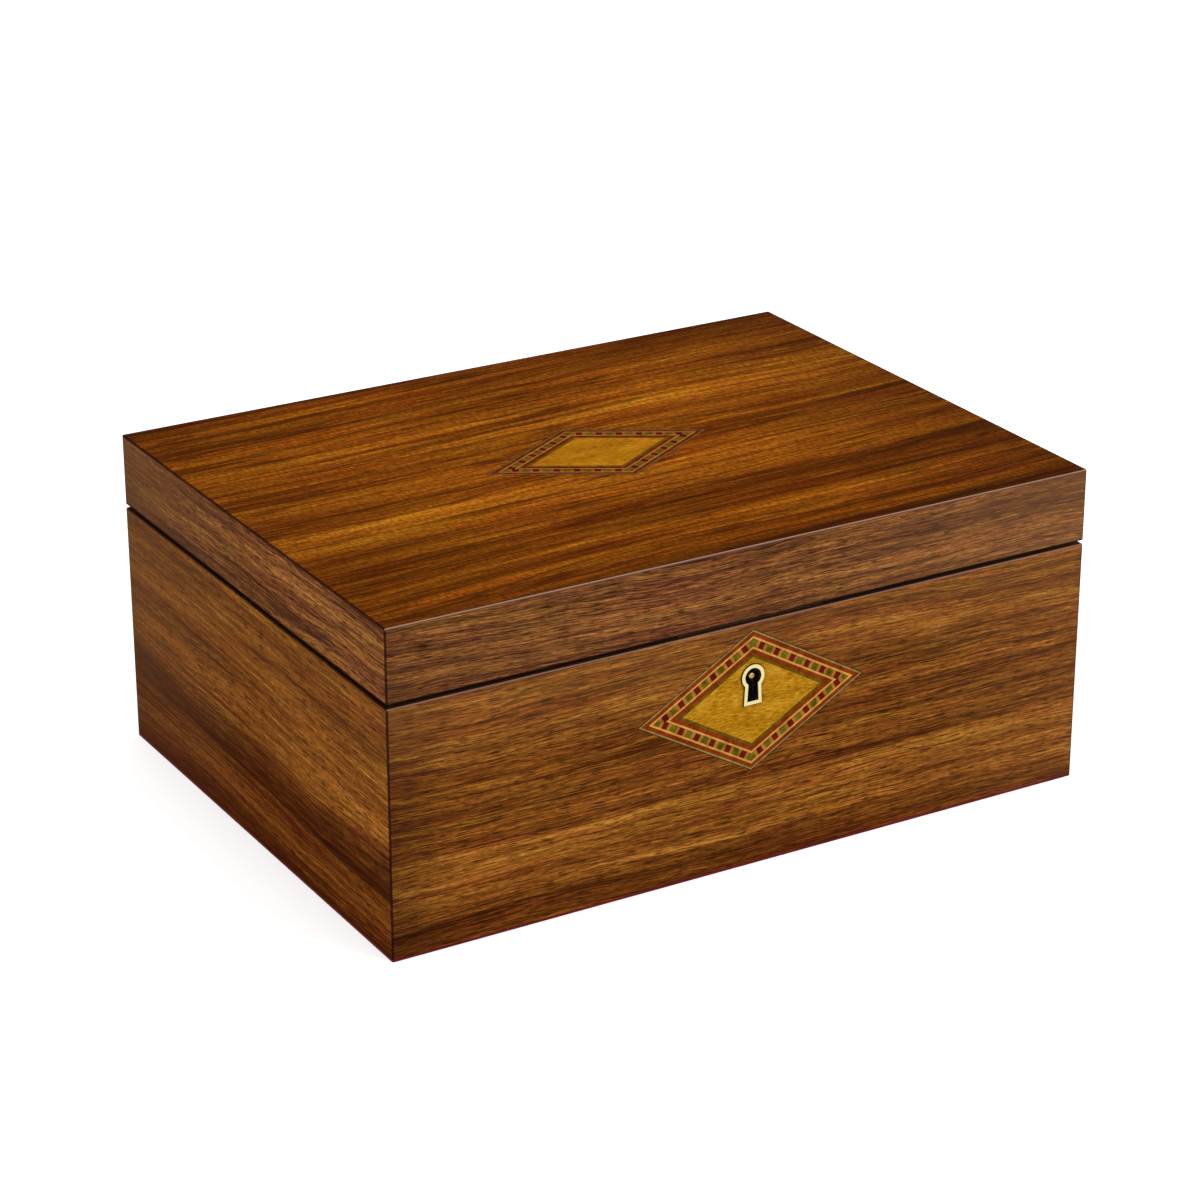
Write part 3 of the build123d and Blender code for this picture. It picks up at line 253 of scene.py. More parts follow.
def streaks(tree, along, over, seed, length, width, detail=2.0, roughness=0.5):
    """Noise drawn out along the grain, in streaks of this length and width in millimetres."""
    stretched = put(tree, "ShaderNodeCombineXYZ", {
        0: reckon(tree, "DIVIDE", along, length),
        1: reckon(tree, "DIVIDE", over, width),
        2: seed,
    })
    return put(tree, "ShaderNodeTexNoise", {
        "Vector": stretched.outputs[0], "Scale": 1.0, "Detail": detail, "Roughness": roughness,
    }).outputs[0]


def along_edges(tree, colour, apart, edges, core):
    """Lays a colour along each of some edges of a leaf, full over the core of its width."""
    for axis, edge, width, hue, strength in edges:
        distance = reckon(tree, "MULTIPLY_ADD", apart.outputs[axis], to_mm, -edge)
        distance = reckon(tree, "ABSOLUTE", distance)
        share = spread(tree, distance, width * core, width, strength, 0.0)
        colour = blended(tree, share, colour, hue)
    return colour


def relief(tree, surface, height, strength, depth):
    """Raises a surface slightly where a height is large."""
    bump = put(tree, "ShaderNodeBump", {"Strength": strength, "Distance": depth, "Height": height})
    tree.links.new(bump.outputs[0], surface.inputs["Normal"])


def veneer(name, grain, across, reach, run, ribbons, hues, seed, slope, figure, fleck, mottle,
           fibres, veins, pores, lines, gloss=0.36, shine=0.008, fades=()):
    """One leaf of veneer. Its reach is across the grain and its run along it, in millimetres.
    Ribbons give its tone across the grain, figure the length, width and strength of its streaks,
    fleck the length and width of its mottling, and hues its colours from dark to light. Fades and
    lines run along its edges, each with an axis, a place on it, a width, a colour and a strength."""
    material, tree, surface = shader(name)
    place = put(tree, "ShaderNodeTexCoord").outputs["Object"]
    apart = put(tree, "ShaderNodeSeparateXYZ", {0: place})
    along = reckon(tree, "MULTIPLY", apart.outputs[grain], to_mm)
    over = reckon(tree, "MULTIPLY", apart.outputs[across], to_mm)
    # The grain slopes and wanders a little.
    wander = streaks(tree, along, over, seed + wander_slice, *wander_size, detail=1.0)
    ripple = streaks(tree, along, over, seed + ripple_slice, *ripple_size, detail=1.0)
    level = reckon(tree, "MULTIPLY_ADD", reckon(tree, "SUBTRACT", wander, 0.5), wander_reach, over)
    level = reckon(tree, "MULTIPLY_ADD", reckon(tree, "SUBTRACT", ripple, 0.5), ripple_reach, level)
    level = reckon(tree, "MULTIPLY_ADD", along, slope, level)
    tone = ramp(tree, spread(tree, level, *reach), ribbons)
    for number, (*size, strength) in enumerate(figure):
        layer_seed = seed + figure_slice * number
        layer = streaks(tree, along, level, layer_seed, *size, roughness=figure_roughness)
        tone = reckon(tree, "MULTIPLY_ADD", reckon(tree, "SUBTRACT", layer, 0.5), strength, tone)
    # Fibres draw crisp lines along the grain, and light wood is mottled with slanting flecks.
    thread = streaks(tree, along, level, seed + thread_slice, *thread_size)
    tone = reckon(tree, "ADD", tone, spread(tree, thread, *thread_edges, -fibres, fibres))
    aslant = reckon(tree, "MULTIPLY_ADD", over, fleck_slant, along)
    speck = reckon(tree, "SUBTRACT", streaks(tree, aslant, level, seed + fleck_slice, *fleck), 0.5)
    share = spread(tree, tone, *mottled_tones, mottle * mottling[0], mottle * mottling[1])
    tone = reckon(tree, "ADD", tone, reckon(tree, "MULTIPLY", speck, share))
    colour = ramp(tree, tone, hues)
    # Its hue drifts between golden and russet.
    drift = streaks(tree, along, level, seed + drift_slice, *drift_size)
    drift = spread(tree, drift, *noise_range, *drift_hues)
    colour = put(tree, "ShaderNodeHueSaturation", {0: drift, 4: colour}).outputs[0]
    # Veins are long thin dark lines where a slow noise crosses its middle.
    for size in vein_sizes:
        crossing = streaks(tree, along, level, seed + vein_slice, *size, detail=1.0)
        crossing = reckon(tree, "ABSOLUTE", reckon(tree, "SUBTRACT", crossing, 0.5))
        colour = blended(tree, spread(tree, crossing, *vein_edges, veins, 0.0), colour, vein_and_shade)
    # Pores are short dark dashes, lightly open under the lacquer.
    dash = streaks(tree, along, level, seed + pore_slice, *pore_size, detail=1.0)
    dash = spread(tree, dash, *pore_edges)
    colour = blended(tree, reckon(tree, "MULTIPLY", dash, pores), colour, pore_colour)
    # Painted shade and painted sheen fade in at some ends and edges; some feet are darker and redder.
    colour = along_edges(tree, colour, apart, fades, 0.0)
    # A fine dark seam shows where two leaves meet at a corner.
    low, high = run
    inside = reckon(tree, "MINIMUM", reckon(tree, "SUBTRACT", along, low),
                    reckon(tree, "SUBTRACT", high, along))
    seam = spread(tree, inside, seam_width * seam_core, seam_width, seam_strength, 0.0)
    colour = blended(tree, seam, colour, seam_and_shade)
    # Eased edges get a painted highlight, and the rims at the parting gap a painted shade.
    colour = along_edges(tree, colour, apart, lines, line_core)
    tree.links.new(colour, surface.inputs["Base Color"])
    fibre = streaks(tree, along, level, seed + fibre_slice, *fibre_size)
    polish = spread(tree, fibre, 0.0, 1.0, gloss + fibre_polish[0], gloss + fibre_polish[1])
    tree.links.new(polish, surface.inputs["Roughness"])
    surface.inputs["Specular IOR Level"].default_value = shine
    relief(tree, surface, reckon(tree, "SUBTRACT", fibre, dash), strength=0.3, depth=grain_depth)
    return material


def face_with(material, *names):
    """Gives CAD nodes this material all over."""
    for name in names:
        nodes[name].data.materials.clear()
        nodes[name].data.materials.append(material)


def span(name, axis):
    """A node's lowest and highest place along one axis, in millimetres."""
    low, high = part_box(name)
    return low[axis] * to_mm, high[axis] * to_mm


wide = span("front_panel", 0)
deep = span("left_panel", 1)
case_rise = span("front_panel", 2)
# The case's hues are browner and bluer than the top's: partly their own tone, partly a painted sheen.
side_hues = (
    (0.0, (0.022, 0.006, 0.001)),
    (0.25, (0.074, 0.020, 0.003)),
    (0.5, (0.198, 0.064, 0.008)),
    (0.75, (0.345, 0.127, 0.015)),
    (1.0, (0.520, 0.230, 0.036)),
)
front_ribbons = (
    (0.0, 0.40), (0.10, 0.49), (0.20, 0.58), (0.26, 0.67), (0.33, 0.66), (0.355, 0.43),
    (0.44, 0.52), (0.52, 0.47), (0.60, 0.43), (0.66, 0.49), (0.78, 0.57), (0.90, 0.55), (1.0, 0.55),
)
left_ribbons = (
    (0.0, 0.32), (0.06, 0.40), (0.14, 0.56), (0.22, 0.42), (0.28, 0.24), (0.34, 0.22),
    (0.42, 0.38), (0.48, 0.56), (0.55, 0.68), (0.60, 0.48), (0.68, 0.55), (0.77, 0.62),
    (0.86, 0.53), (0.94, 0.46), (1.0, 0.42),
)
# The leaves of the front and back are closely and evenly figured.
side = {
    "figure": ((190, 8.0, 0.55), (90, 2.6, 0.62), (40, 0.9, 0.76), (12, 0.45, 0.50)),
    "fleck": (2.2, 0.9), "mottle": 0.38, "fibres": 0.120, "veins": 0.26, "pores": 0.76,
}
# The leaves of the two ends have a stronger figure and a duller lacquer.
end_side = {
    "figure": ((190, 8.0, 0.68), (90, 2.6, 0.76), (38, 0.9, 0.66), (10, 0.45, 0.44)),
    "fleck": (2.0, 0.9), "mottle": 0.34, "fibres": 0.090, "veins": 0.24, "pores": 0.74,
    "shine": 0.001,
}
# Each case leaf gets a painted shade on its rim at the parting gap. The front and back also get a
# painted highlight along their top edge, and the ends a wider painted shade there instead.
case_edges = (
    ("Z", case_rise[1], highlight_width, painted_edge_highlight, 0.70),
    ("Z", case_rise[1], rim_depth, painted_rim_shade, 0.86),
)
end_edges = (("Z", case_rise[1], 0.5, painted_gap_shade, 0.72), case_edges[1])
# The front leaf gets painted shade at its left end, painted sheen towards its top and right end, and
# a darker, redder foot.
face_with(veneer(
    "front_veneer", "X", "Z", case_rise, wide, front_ribbons, side_hues, 1.0, slope=0.012,
    fades=(("X", wide[0], 24, seam_and_shade, 0.45), ("Z", case_rise[0], 12, dark_red_foot, 0.30),
           ("Z", case_rise[1], 30, painted_sheen, 0.15), ("X", wide[1], 80, painted_sheen, 0.12)),
    lines=case_edges, **side
), "front_panel")
face_with(veneer(
    "back_veneer", "X", "Z", case_rise, wide, front_ribbons, side_hues, 13.0, slope=-0.01,
    lines=case_edges, **side
), "back_panel")
# The left leaf gets painted shade, greyed like a reflection, towards its rear and top, and a darker,
# redder foot.
face_with(veneer(
    "left_veneer", "Y", "Z", case_rise, deep, left_ribbons, side_hues, 5.0, slope=-0.02,
    fades=(("Y", deep[1], 95, painted_hazy_shade, 0.54), ("Z", case_rise[1], 62, painted_hazy_shade, 0.22),
           ("Z", case_rise[0], 40, dark_red_foot, 0.50)),
    lines=end_edges, **end_side
), "left_panel")
face_with(veneer(
    "right_veneer", "Y", "Z", case_rise, deep, left_ribbons, side_hues, 9.0, slope=0.015,
    lines=end_edges, **end_side
), "right_panel")


# Floor. A board of plain light wood is let in between the four panels, and carries the lining above
# it and the felt below. The lid has a panel of the same wood under its veneer.
board_grain = (70, 3.0)
board_depth = 0.0001
board_hues = (
    (0.3, (0.42, 0.27, 0.14)), (0.5, (0.52, 0.36, 0.20)), (0.7, (0.60, 0.44, 0.27)),
)
material, tree, surface = shader("plain_board")
place = put(tree, "ShaderNodeTexCoord").outputs["Object"]
apart = put(tree, "ShaderNodeSeparateXYZ", {0: place})
along = reckon(tree, "MULTIPLY", apart.outputs["X"], to_mm)
over = reckon(tree, "MULTIPLY", apart.outputs["Y"], to_mm)
grain = streaks(tree, along, over, 51.0, *board_grain, detail=3.0)
tree.links.new(ramp(tree, grain, board_hues), surface.inputs["Base Color"])
surface.inputs["Roughness"].default_value = 0.7
relief(tree, surface, grain, strength=0.3, depth=board_depth)
face_with(material, "floor_board", "lid_panel")


# Base felt. A sheet of burgundy wool felt is glued under the case so that it doesn't scratch a
# table, and shows as a fine red line all round. Its short fibres are matted over an uneven dye.
felt_fibre = 1.2
felt_depth = 0.0003
felt_hues = ((0.35, (0.085, 0.002, 0.004)), (0.65, (0.180, 0.005, 0.011)))


def clouds(tree, place, scale, detail=2.0, roughness=0.5, distortion=0.0):
    """Noise that is alike in every direction."""
    return put(tree, "ShaderNodeTexNoise", {
        "Vector": place, "Scale": scale, "Detail": detail, "Roughness": roughness,
        "Distortion": distortion,
    }).outputs[0]


def mixed(tree, one, other, share):
    """Adds this share of one value to the rest of another."""
    return reckon(tree, "MULTIPLY_ADD", one, share, reckon(tree, "MULTIPLY", other, 1 - share))


material, tree, surface = shader("base_felt")
place = put(tree, "ShaderNodeTexCoord").outputs["Object"]
wool = clouds(tree, place, to_mm / felt_fibre, detail=4.0, roughness=0.7)
tone = mixed(tree, clouds(tree, place, 60.0), wool, 0.5)
tree.links.new(ramp(tree, tone, felt_hues), surface.inputs["Base Color"])
surface.inputs["Roughness"].default_value = 0.95
surface.inputs["Specular IOR Level"].default_value = 0.1
surface.inputs["Sheen Weight"].default_value = 0.1
surface.inputs["Sheen Roughness"].default_value = 0.5
relief(tree, surface, wool, strength=0.6, depth=felt_depth)
face_with(material, "felt_base")


# Bandings of the diamond inlays. Dyed strips with a chain of red and green blocks down their middle
# are glued up, cut to mitres and let in flush with the veneer. The lid's has mellowed darker.
# Each strip's width in millimetres, from the outside in.
strips = (
    (0.30, "olive_edge"), (0.50, "khaki_line"), (1.35, "red_band"), (0.65, "cream_line"),
    (2.5, "blocks"), (0.65, "cream_line"), (1.45, "red_band"), (1.0, "green_line"),
)
chain_inset = 4.05  # from the banding's edge to the middle of its blocks
first_block = 2.6  # from the chain's acute corner to the middle of its first red block
block_pitch = 6.75
red_block = 2.1
tan_block = 1.12
chain_repeats = range(-1, 6)  # pitches of the chain, past both ends of a side
dyed_tones = (0.38, 0.62)
# Each wood's dark and light hue.
inlay_hues = {
    "olive_edge": ((0.022, 0.016, 0.003), (0.046, 0.034, 0.005)),
    "khaki_line": ((0.200, 0.125, 0.036), (0.340, 0.230, 0.085)),
    "red_band": ((0.125, 0.018, 0.002), (0.245, 0.042, 0.006)),
    "cream_line": ((0.440, 0.190, 0.036), (0.640, 0.310, 0.068)),
    "tan": ((0.200, 0.085, 0.009), (0.370, 0.180, 0.028)),
    "red": ((0.075, 0.004, 0.003), (0.150, 0.012, 0.006)),
    "green": ((0.065, 0.046, 0.002), (0.170, 0.122, 0.009)),
    "green_line": ((0.070, 0.042, 0.003), (0.170, 0.092, 0.008)),
}
lid_hues = {
    "olive_edge": ((0.016, 0.010, 0.002), (0.030, 0.020, 0.004)),
    "khaki_line": ((0.120, 0.060, 0.014), (0.220, 0.120, 0.032)),
    "red_band": ((0.070, 0.010, 0.001), (0.140, 0.024, 0.002)),
    "cream_line": ((0.250, 0.085, 0.014), (0.380, 0.150, 0.030)),
    "tan": ((0.140, 0.050, 0.004), (0.250, 0.096, 0.010)),
    "red": ((0.050, 0.003, 0.001), (0.100, 0.007, 0.002)),
    "green": ((0.070, 0.040, 0.001), (0.140, 0.082, 0.004)),
    "green_line": ((0.090, 0.036, 0.001), (0.180, 0.076, 0.004)),
}


def dyed_wood(name, dark, light):
    """Dyed sycamore: an uneven hue with a fine fleck under the same lacquer."""
    material, tree, surface = shader(name)
    place = put(tree, "ShaderNodeTexCoord").outputs["Object"]
    fleck = clouds(tree, place, 1100.0, detail=3.0, roughness=0.6)
    tone = mixed(tree, clouds(tree, place, 260.0, detail=1.0), fleck, 0.5)
    hues = list(zip(dyed_tones, (dark, light)))
    tree.links.new(ramp(tree, tone, hues), surface.inputs["Base Color"])
    surface.inputs["Roughness"].default_value = 0.40
    surface.inputs["Specular IOR Level"].default_value = 0.001
    return material


inlay_order = list(inlay_hues)


def new_piece(name, shape, materials, body, *replaced):
    """Makes a mesh object from a bmesh, gives it its materials, and lets it ride on a body."""
    bmesh.ops.recalc_face_normals(shape, faces=shape.faces)
    mesh = bpy.data.meshes.new(name)
    shape.to_mesh(mesh)
    shape.free()
    for material in materials:
        mesh.materials.append(material)
    piece = bpy.data.objects.new(name, mesh)
    bpy.context.collection.objects.link(piece)
    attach(piece, body)
    if replaced:
        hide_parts(*replaced)
    return piece


def banding(length, breadth, thickness):
    """A flat banding round the origin, its face up at z = 0: rings of mitred strips, and blocks."""
    shape = bmesh.new()
    corners = [(length / 2, 0, 0), (0, breadth / 2, 0), (-length / 2, 0, 0), (0, -breadth / 2, 0)]
    middle = shape.faces.new([shape.verts.new(corner) for corner in corners])
    middle.normal_update()
    chain = []
    for width, wood in strips:
        ring = bmesh.ops.inset_individual(
            shape, faces=[middle], thickness=width / to_mm, use_even_offset=True
        )["faces"]
        for face in ring:
            face.material_index = inlay_order.index("tan" if wood == "blocks" else wood)
        if wood == "blocks":
            chain = ring
    bmesh.ops.delete(shape, geom=[middle], context="FACES_ONLY")
    # Each side of the chain is cut square to its length, and every part gets its own wood.
    shrink = 1 - chain_inset / to_mm * 2 * math.hypot(length, breadth) / (length * breadth)
    for face in chain:
        centre = face.calc_center_median()
        acute = Vector((math.copysign(length / 2 * shrink, centre.x), 0, 0))
        obtuse = Vector((0, math.copysign(breadth / 2 * shrink, centre.y), 0))
        down_side = (obtuse - acute).normalized()
        parts = [face]
        places = []
        for repeat in chain_repeats:
            first = first_block + repeat * block_pitch - red_block / 2
            places += [first, first + red_block]
            places += [first + red_block + tan_block, first + block_pitch - tan_block]
        for place in places:
            edges = list(dict.fromkeys(edge for part in parts for edge in part.edges))
            cut = bmesh.ops.bisect_plane(
                shape, geom=parts + edges,
                plane_co=acute + down_side * place / to_mm, plane_no=down_side,
            )["geom"]
            parts = [item for item in cut if isinstance(item, bmesh.types.BMFace)]
        for part in parts:
            place = (part.calc_center_median() - acute).dot(down_side) * to_mm
            phase = (place - first_block + red_block / 2) % block_pitch
            if phase < red_block:
                part.material_index = inlay_order.index("red")
            elif red_block + tan_block < phase < block_pitch - tan_block:
                part.material_index = inlay_order.index("green")
    whole = bmesh.ops.extrude_face_region(shape, geom=list(shape.faces))["geom"]
    lowered = [item for item in whole if isinstance(item, bmesh.types.BMVert)]
    bmesh.ops.translate(shape, verts=lowered, vec=(0, 0, -thickness))
    return shape


low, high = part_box("front_inlay_banding")
shape = banding(high.x - low.x, high.z - low.z, high.y - low.y)
stand = Matrix.Translation((0, low.y, (low.z + high.z) / 2)) @ Matrix.Rotation(math.pi / 2, 4, "X")
bmesh.ops.transform(shape, matrix=stand, verts=shape.verts)
woods = [dyed_wood(name, *hues) for name, hues in inlay_hues.items()]
new_piece("front_banding", shape, woods, "case", "front_inlay_banding")
low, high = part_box("lid_inlay_banding")
shape = banding(high.x - low.x, high.y - low.y, high.z - low.z)
bmesh.ops.translate(shape, verts=shape.verts, vec=(0, 0, high.z))
woods = [dyed_wood("lid_" + name, *hues) for name, hues in lid_hues.items()]
new_piece("lid_banding", shape, woods, "lid", "lid_inlay_banding")


# Fields of the diamond inlays. Each is golden satinwood with a fine wavy fleck, let in inside its
# banding. The front one carries the brass insert, with a dark joint and a painted shadow round it.
field_tones = (0.36, 0.50, 0.64)
front_field = ((0.248, 0.099, 0.003), (0.398, 0.176, 0.006), (0.550, 0.282, 0.020))
lid_field = ((0.216, 0.075, 0.001), (0.346, 0.129, 0.003), (0.475, 0.205, 0.008))
wave_size = (2.4, 1.6)
wave_reach = 1.4
satin_size = (2.6, 0.42)
satin_share = 0.6
glow_size = (14, 6.0)
satin_depth = 0.0001
slot_neck = 2.85  # half the insert's width at its neck
slot_flare = 0.052  # how much each side widens over a millimetre downwards
# A dark joint round the insert, and a soft painted shadow of the proud insert round that.
joint_and_shadow_bands = ((1.3, 0.22, vein_and_shade), (0.5, 0.85, seam_and_shade))
band_core = 0.2


def round_insert(tree, along, rise, low, high):
    """How far a place on the front lies outside the outline of the insert, in millimetres."""
    bow = high.x * to_mm
    height = reckon(tree, "MULTIPLY_ADD", rise, to_mm, bow - high.z * to_mm)
    below = bow + (low.z - high.z) * to_mm
    aside = reckon(tree, "ABSOLUTE", along)
    from_bow = reckon(tree, "MULTIPLY_ADD", aside, aside, reckon(tree, "MULTIPLY", height, height))
    from_bow = reckon(tree, "SUBTRACT", reckon(tree, "SQRT", from_bow), bow)
    half_slot = reckon(tree, "MULTIPLY_ADD", height, -slot_flare, slot_neck)
    past_ends = reckon(tree, "MAXIMUM", height, reckon(tree, "SUBTRACT", below, height))
    from_slot = reckon(tree, "MAXIMUM", reckon(tree, "SUBTRACT", aside, half_slot), past_ends)
    return reckon(tree, "MINIMUM", from_bow, from_slot)


def satin_field(name, hues, insert=None):
    """Satinwood, with a dark joint and a painted shadow round a brass insert, if its corners are
    given.
    """
    material, tree, surface = shader(name)
    place = put(tree, "ShaderNodeTexCoord").outputs["Object"]
    apart = put(tree, "ShaderNodeSeparateXYZ", {0: place})
    along = reckon(tree, "MULTIPLY", apart.outputs["X"], to_mm)
    rise = reckon(tree, "ADD", apart.outputs["Y"], apart.outputs["Z"])
    level = reckon(tree, "MULTIPLY", rise, to_mm)
    wave = streaks(tree, along, level, 60.0, *wave_size, detail=1.0)
    over = reckon(tree, "MULTIPLY_ADD", wave, wave_reach, level)
    fine = streaks(tree, along, over, 61.0, *satin_size, detail=1.0)
    tone = mixed(tree, fine, streaks(tree, along, over, 63.0, *glow_size), satin_share)
    colour = ramp(tree, tone, list(zip(field_tones, hues)))
    if insert:
        outside = round_insert(tree, along, apart.outputs["Z"], *insert)
        for reach, strength, band_colour in joint_and_shadow_bands:
            colour = blended(tree, spread(tree, outside, band_core, reach, strength, 0.0), colour, band_colour)
    tree.links.new(colour, surface.inputs["Base Color"])
    surface.inputs["Roughness"].default_value = 0.40
    surface.inputs["Specular IOR Level"].default_value = 0.001
    relief(tree, surface, tone, strength=0.25, depth=satin_depth)
    return material


face_with(
    satin_field("front_satinwood", front_field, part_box("keyhole_escutcheon")), "front_inlay_field"
)
face_with(satin_field("lid_satinwood", lid_field), "lid_inlay_field")


# Fittings. The keyhole's escutcheon is polished brass, the hinges and screws are brushed brass, the
# lock and its strike are brass darkened by a painted shade where they show in the parting gap, and
# the lock's bolt is steel.
scratch_scale = (400.0, 3200.0, 3200.0)  # scratches run across the box
scratch_depth = 0.00003
scratch_polish = (0.8, 1.25)
dull_share = 0.86
polish_tones = (0.35, 0.65)


def metal(name, colour, roughness, brushing=0.0):
    """A metal with a slightly uneven polish and, if brushed, fine scratches."""
    material, tree, surface = shader(name)
    place = put(tree, "ShaderNodeTexCoord").outputs["Object"]
    drawn_out = put(tree, "ShaderNodeMapping", {"Vector": place, "Scale": scratch_scale})
    scratches = clouds(tree, drawn_out.outputs[0], 5.0)
    dull = tuple(part * dull_share for part in colour)
    hues = list(zip(polish_tones, (dull, colour)))
    cloud = clouds(tree, place, 90.0, detail=3.0)
    tree.links.new(ramp(tree, cloud, hues), surface.inputs["Base Color"])
    surface.inputs["Metallic"].default_value = 1.0
    smooth, rough = (roughness * share for share in scratch_polish)
    tree.links.new(spread(tree, scratches, *noise_range, smooth, rough), surface.inputs["Roughness"])
    if brushing:
        relief(tree, surface, scratches, strength=brushing, depth=scratch_depth)
    return material


brass = metal("brushed_brass", (0.80, 0.56, 0.24), 0.30, 0.25)
# Brass painted nearly black: a painted shade for where the lock and strike show in the parting gap.
shade_darkened_brass = metal("shade_darkened_brass", (0.12, 0.08, 0.035), 0.45, 0.25)
polished_brass = metal("polished_brass", (0.90, 0.80, 0.40), 0.18)
steel = metal("bright_steel", (0.62, 0.62, 0.63), 0.26, 0.3)
face_with(polished_brass, "keyhole_escutcheon")
face_with(brass, "hinge_case_leaves", "hinge_lid_leaves", "hinge_pins", "case_screws", "lid_screws")
face_with(shade_darkened_brass, "lock_case", "lid_strike")
face_with(steel, "lock_bolt")
face_with(metal("lock_inside", (0.10, 0.075, 0.04), 0.6), "lock_cover")


# Key pin. A turned pin riveted in the lock carries the barrel key. Its tip is domed, dimpled by
# the lathe's centre, and tarnished.
pin_reach = 0.0014
pin_dome = 0.00035
pin_steps = ((0.0003, 0.0), (0.0002, 0.0003))  # how far each step of the tip goes in, and down
same_place = 1e-6
low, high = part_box("lock_key_pin")
low.y -= pin_reach
middle = (low + high) / 2
shape = bmesh.new()
stand = Matrix.Translation(middle) @ Matrix.Rotation(math.pi / 2, 4, "X")
bmesh.ops.create_cone(
    shape, cap_ends=True, segments=28, radius1=high.x, radius2=high.x, depth=high.y - low.y,
    matrix=stand,
)
tip = min(shape.faces, key=lambda face: face.calc_center_median().y)
for inset, drop in pin_steps:
    bmesh.ops.inset_individual(shape, faces=[tip], thickness=inset)
    bmesh.ops.translate(shape, verts=tip.verts, vec=(0, drop, 0))
rim = [
    edge for edge in shape.edges
    if all(vert.co.y < low.y + same_place for vert in edge.verts)
    and all((vert.co - middle).xz.length > high.x - same_place for vert in edge.verts)
]
bmesh.ops.bevel(
    shape, geom=rim, offset=pin_dome, segments=4, profile=0.5, affect="EDGES", material=-1
)
pin_brass = metal("tarnished_brass", (0.64, 0.46, 0.13), 0.34, 0.3)
new_piece("lock_key_pin_turned", shape, [pin_brass], "case", "lock_key_pin")


# Lid. Four mitred rails in the veneer of the case carry a top leaf of the richest figure, laid
# with its grain along the box, trimmed flush and eased at its edges.
lid_rise = span("lid_front_rail", 2)
top_reach = span("lid_veneer", 1)
rail_ribbons = (
    (0.0, 0.46), (0.2, 0.44), (0.34, 0.48), (0.44, 0.69), (0.54, 0.50), (0.75, 0.50), (1.0, 0.47),
)
# The rails' hues are cooler and greyer than the case's: a painted sheen.
rail_hues = (
    (0.0, (0.022, 0.008, 0.007)),
    (0.25, (0.072, 0.025, 0.013)),
    (0.5, (0.180, 0.066, 0.018)),
    (0.75, (0.330, 0.134, 0.030)),
    (1.0, (0.500, 0.235, 0.050)),
)
top_hues = (
    (0.0, (0.020, 0.004, 0.001)),
    (0.25, (0.074, 0.018, 0.001)),
    (0.5, (0.195, 0.052, 0.003)),
    (0.75, (0.350, 0.108, 0.005)),
    (1.0, (0.540, 0.220, 0.014)),
)
top_ribbons = (
    (0.0, 0.34), (0.06, 0.50), (0.13, 0.54), (0.18, 0.42), (0.24, 0.41), (0.30, 0.56),
    (0.37, 0.64), (0.42, 0.58), (0.46, 0.46), (0.50, 0.44), (0.54, 0.56), (0.62, 0.54),
    (0.69, 0.70), (0.75, 0.62), (0.80, 0.46), (0.806, 0.28), (0.812, 0.50), (0.855, 0.54),
    (0.861, 0.26), (0.867, 0.50), (0.92, 0.46), (0.93, 0.28), (0.945, 0.46), (1.0, 0.34),
)
# The lid's rails get a painted shade along the parting gap and on their rims.
rail_edges = (
    ("Z", lid_rise[0], 0.85, painted_gap_shade, 0.88),
    ("Z", lid_rise[0], rim_depth, painted_rim_shade, 0.86),
)
end_rail_edges = (("Z", lid_rise[0], 1.1, painted_gap_shade, 0.84), rail_edges[1])
end_rail_ribbons = (
    (0.0, 0.45), (0.2, 0.46), (0.35, 0.50), (0.5, 0.51), (0.65, 0.52), (0.8, 0.55), (1.0, 0.48),
)
# The lid's front rail gets painted sheen towards its right end and painted shade at its left end.
face_with(veneer(
    "lid_front_veneer", "X", "Z", lid_rise, wide, rail_ribbons, rail_hues, 21.0, slope=0.01,
    fades=(("X", wide[1], 110, painted_sheen, 0.32), ("X", wide[0], 60, seam_and_shade, 0.25)),
    lines=rail_edges, **side
), "lid_front_rail")
face_with(veneer(
    "lid_back_veneer", "X", "Z", lid_rise, wide, rail_ribbons, rail_hues, 33.0, slope=-0.01,
    lines=rail_edges, **side
), "lid_back_rail")
# The lid's left rail gets painted shade, greyed like a reflection, towards its rear.
face_with(veneer(
    "lid_left_veneer", "Y", "Z", lid_rise, deep, end_rail_ribbons, rail_hues, 25.0, slope=-0.01,
    fades=(("Y", deep[1], 95, painted_hazy_shade, 0.7),), lines=end_rail_edges, **end_side
), "lid_left_rail")
face_with(veneer(
    "lid_right_veneer", "Y", "Z", lid_rise, deep, end_rail_ribbons, rail_hues, 29.0, slope=0.01,
    lines=end_rail_edges, **end_side
), "lid_right_rail")
top_figure = ((200, 9.0, 0.84), (140, 3.0, 0.44), (60, 1.3, 0.52), (16, 0.8, 0.30))
under_top = (0.060, 0.022, 0.012)
# A painted highlight along the top leaf's front edge.
painted_top_highlight = (0.400, 0.235, 0.160)
# The top leaf gets painted shade towards both ends and along its front and back edges.
face_with(veneer(
    "top_veneer", "X", "Y", top_reach, wide, top_ribbons, top_hues, 37.0, -0.03, top_figure,
    fleck=(0.9, 2.0), mottle=0.62, fibres=0.050, veins=0.60, pores=0.40, gloss=0.42, shine=0.0005,
    fades=(("X", wide[1], 80, seam_and_shade, 0.40), ("X", wide[0], 80, vein_and_shade, 0.22),
           ("Y", top_reach[1], 6, seam_and_shade, 0.5), ("Y", top_reach[0], 6, seam_and_shade, 0.4)),
    lines=(("Y", top_reach[0], 0.3, painted_top_highlight, 0.8), ("Z", lid_rise[1], 0.45, under_top, 0.8)),
), "lid_veneer")


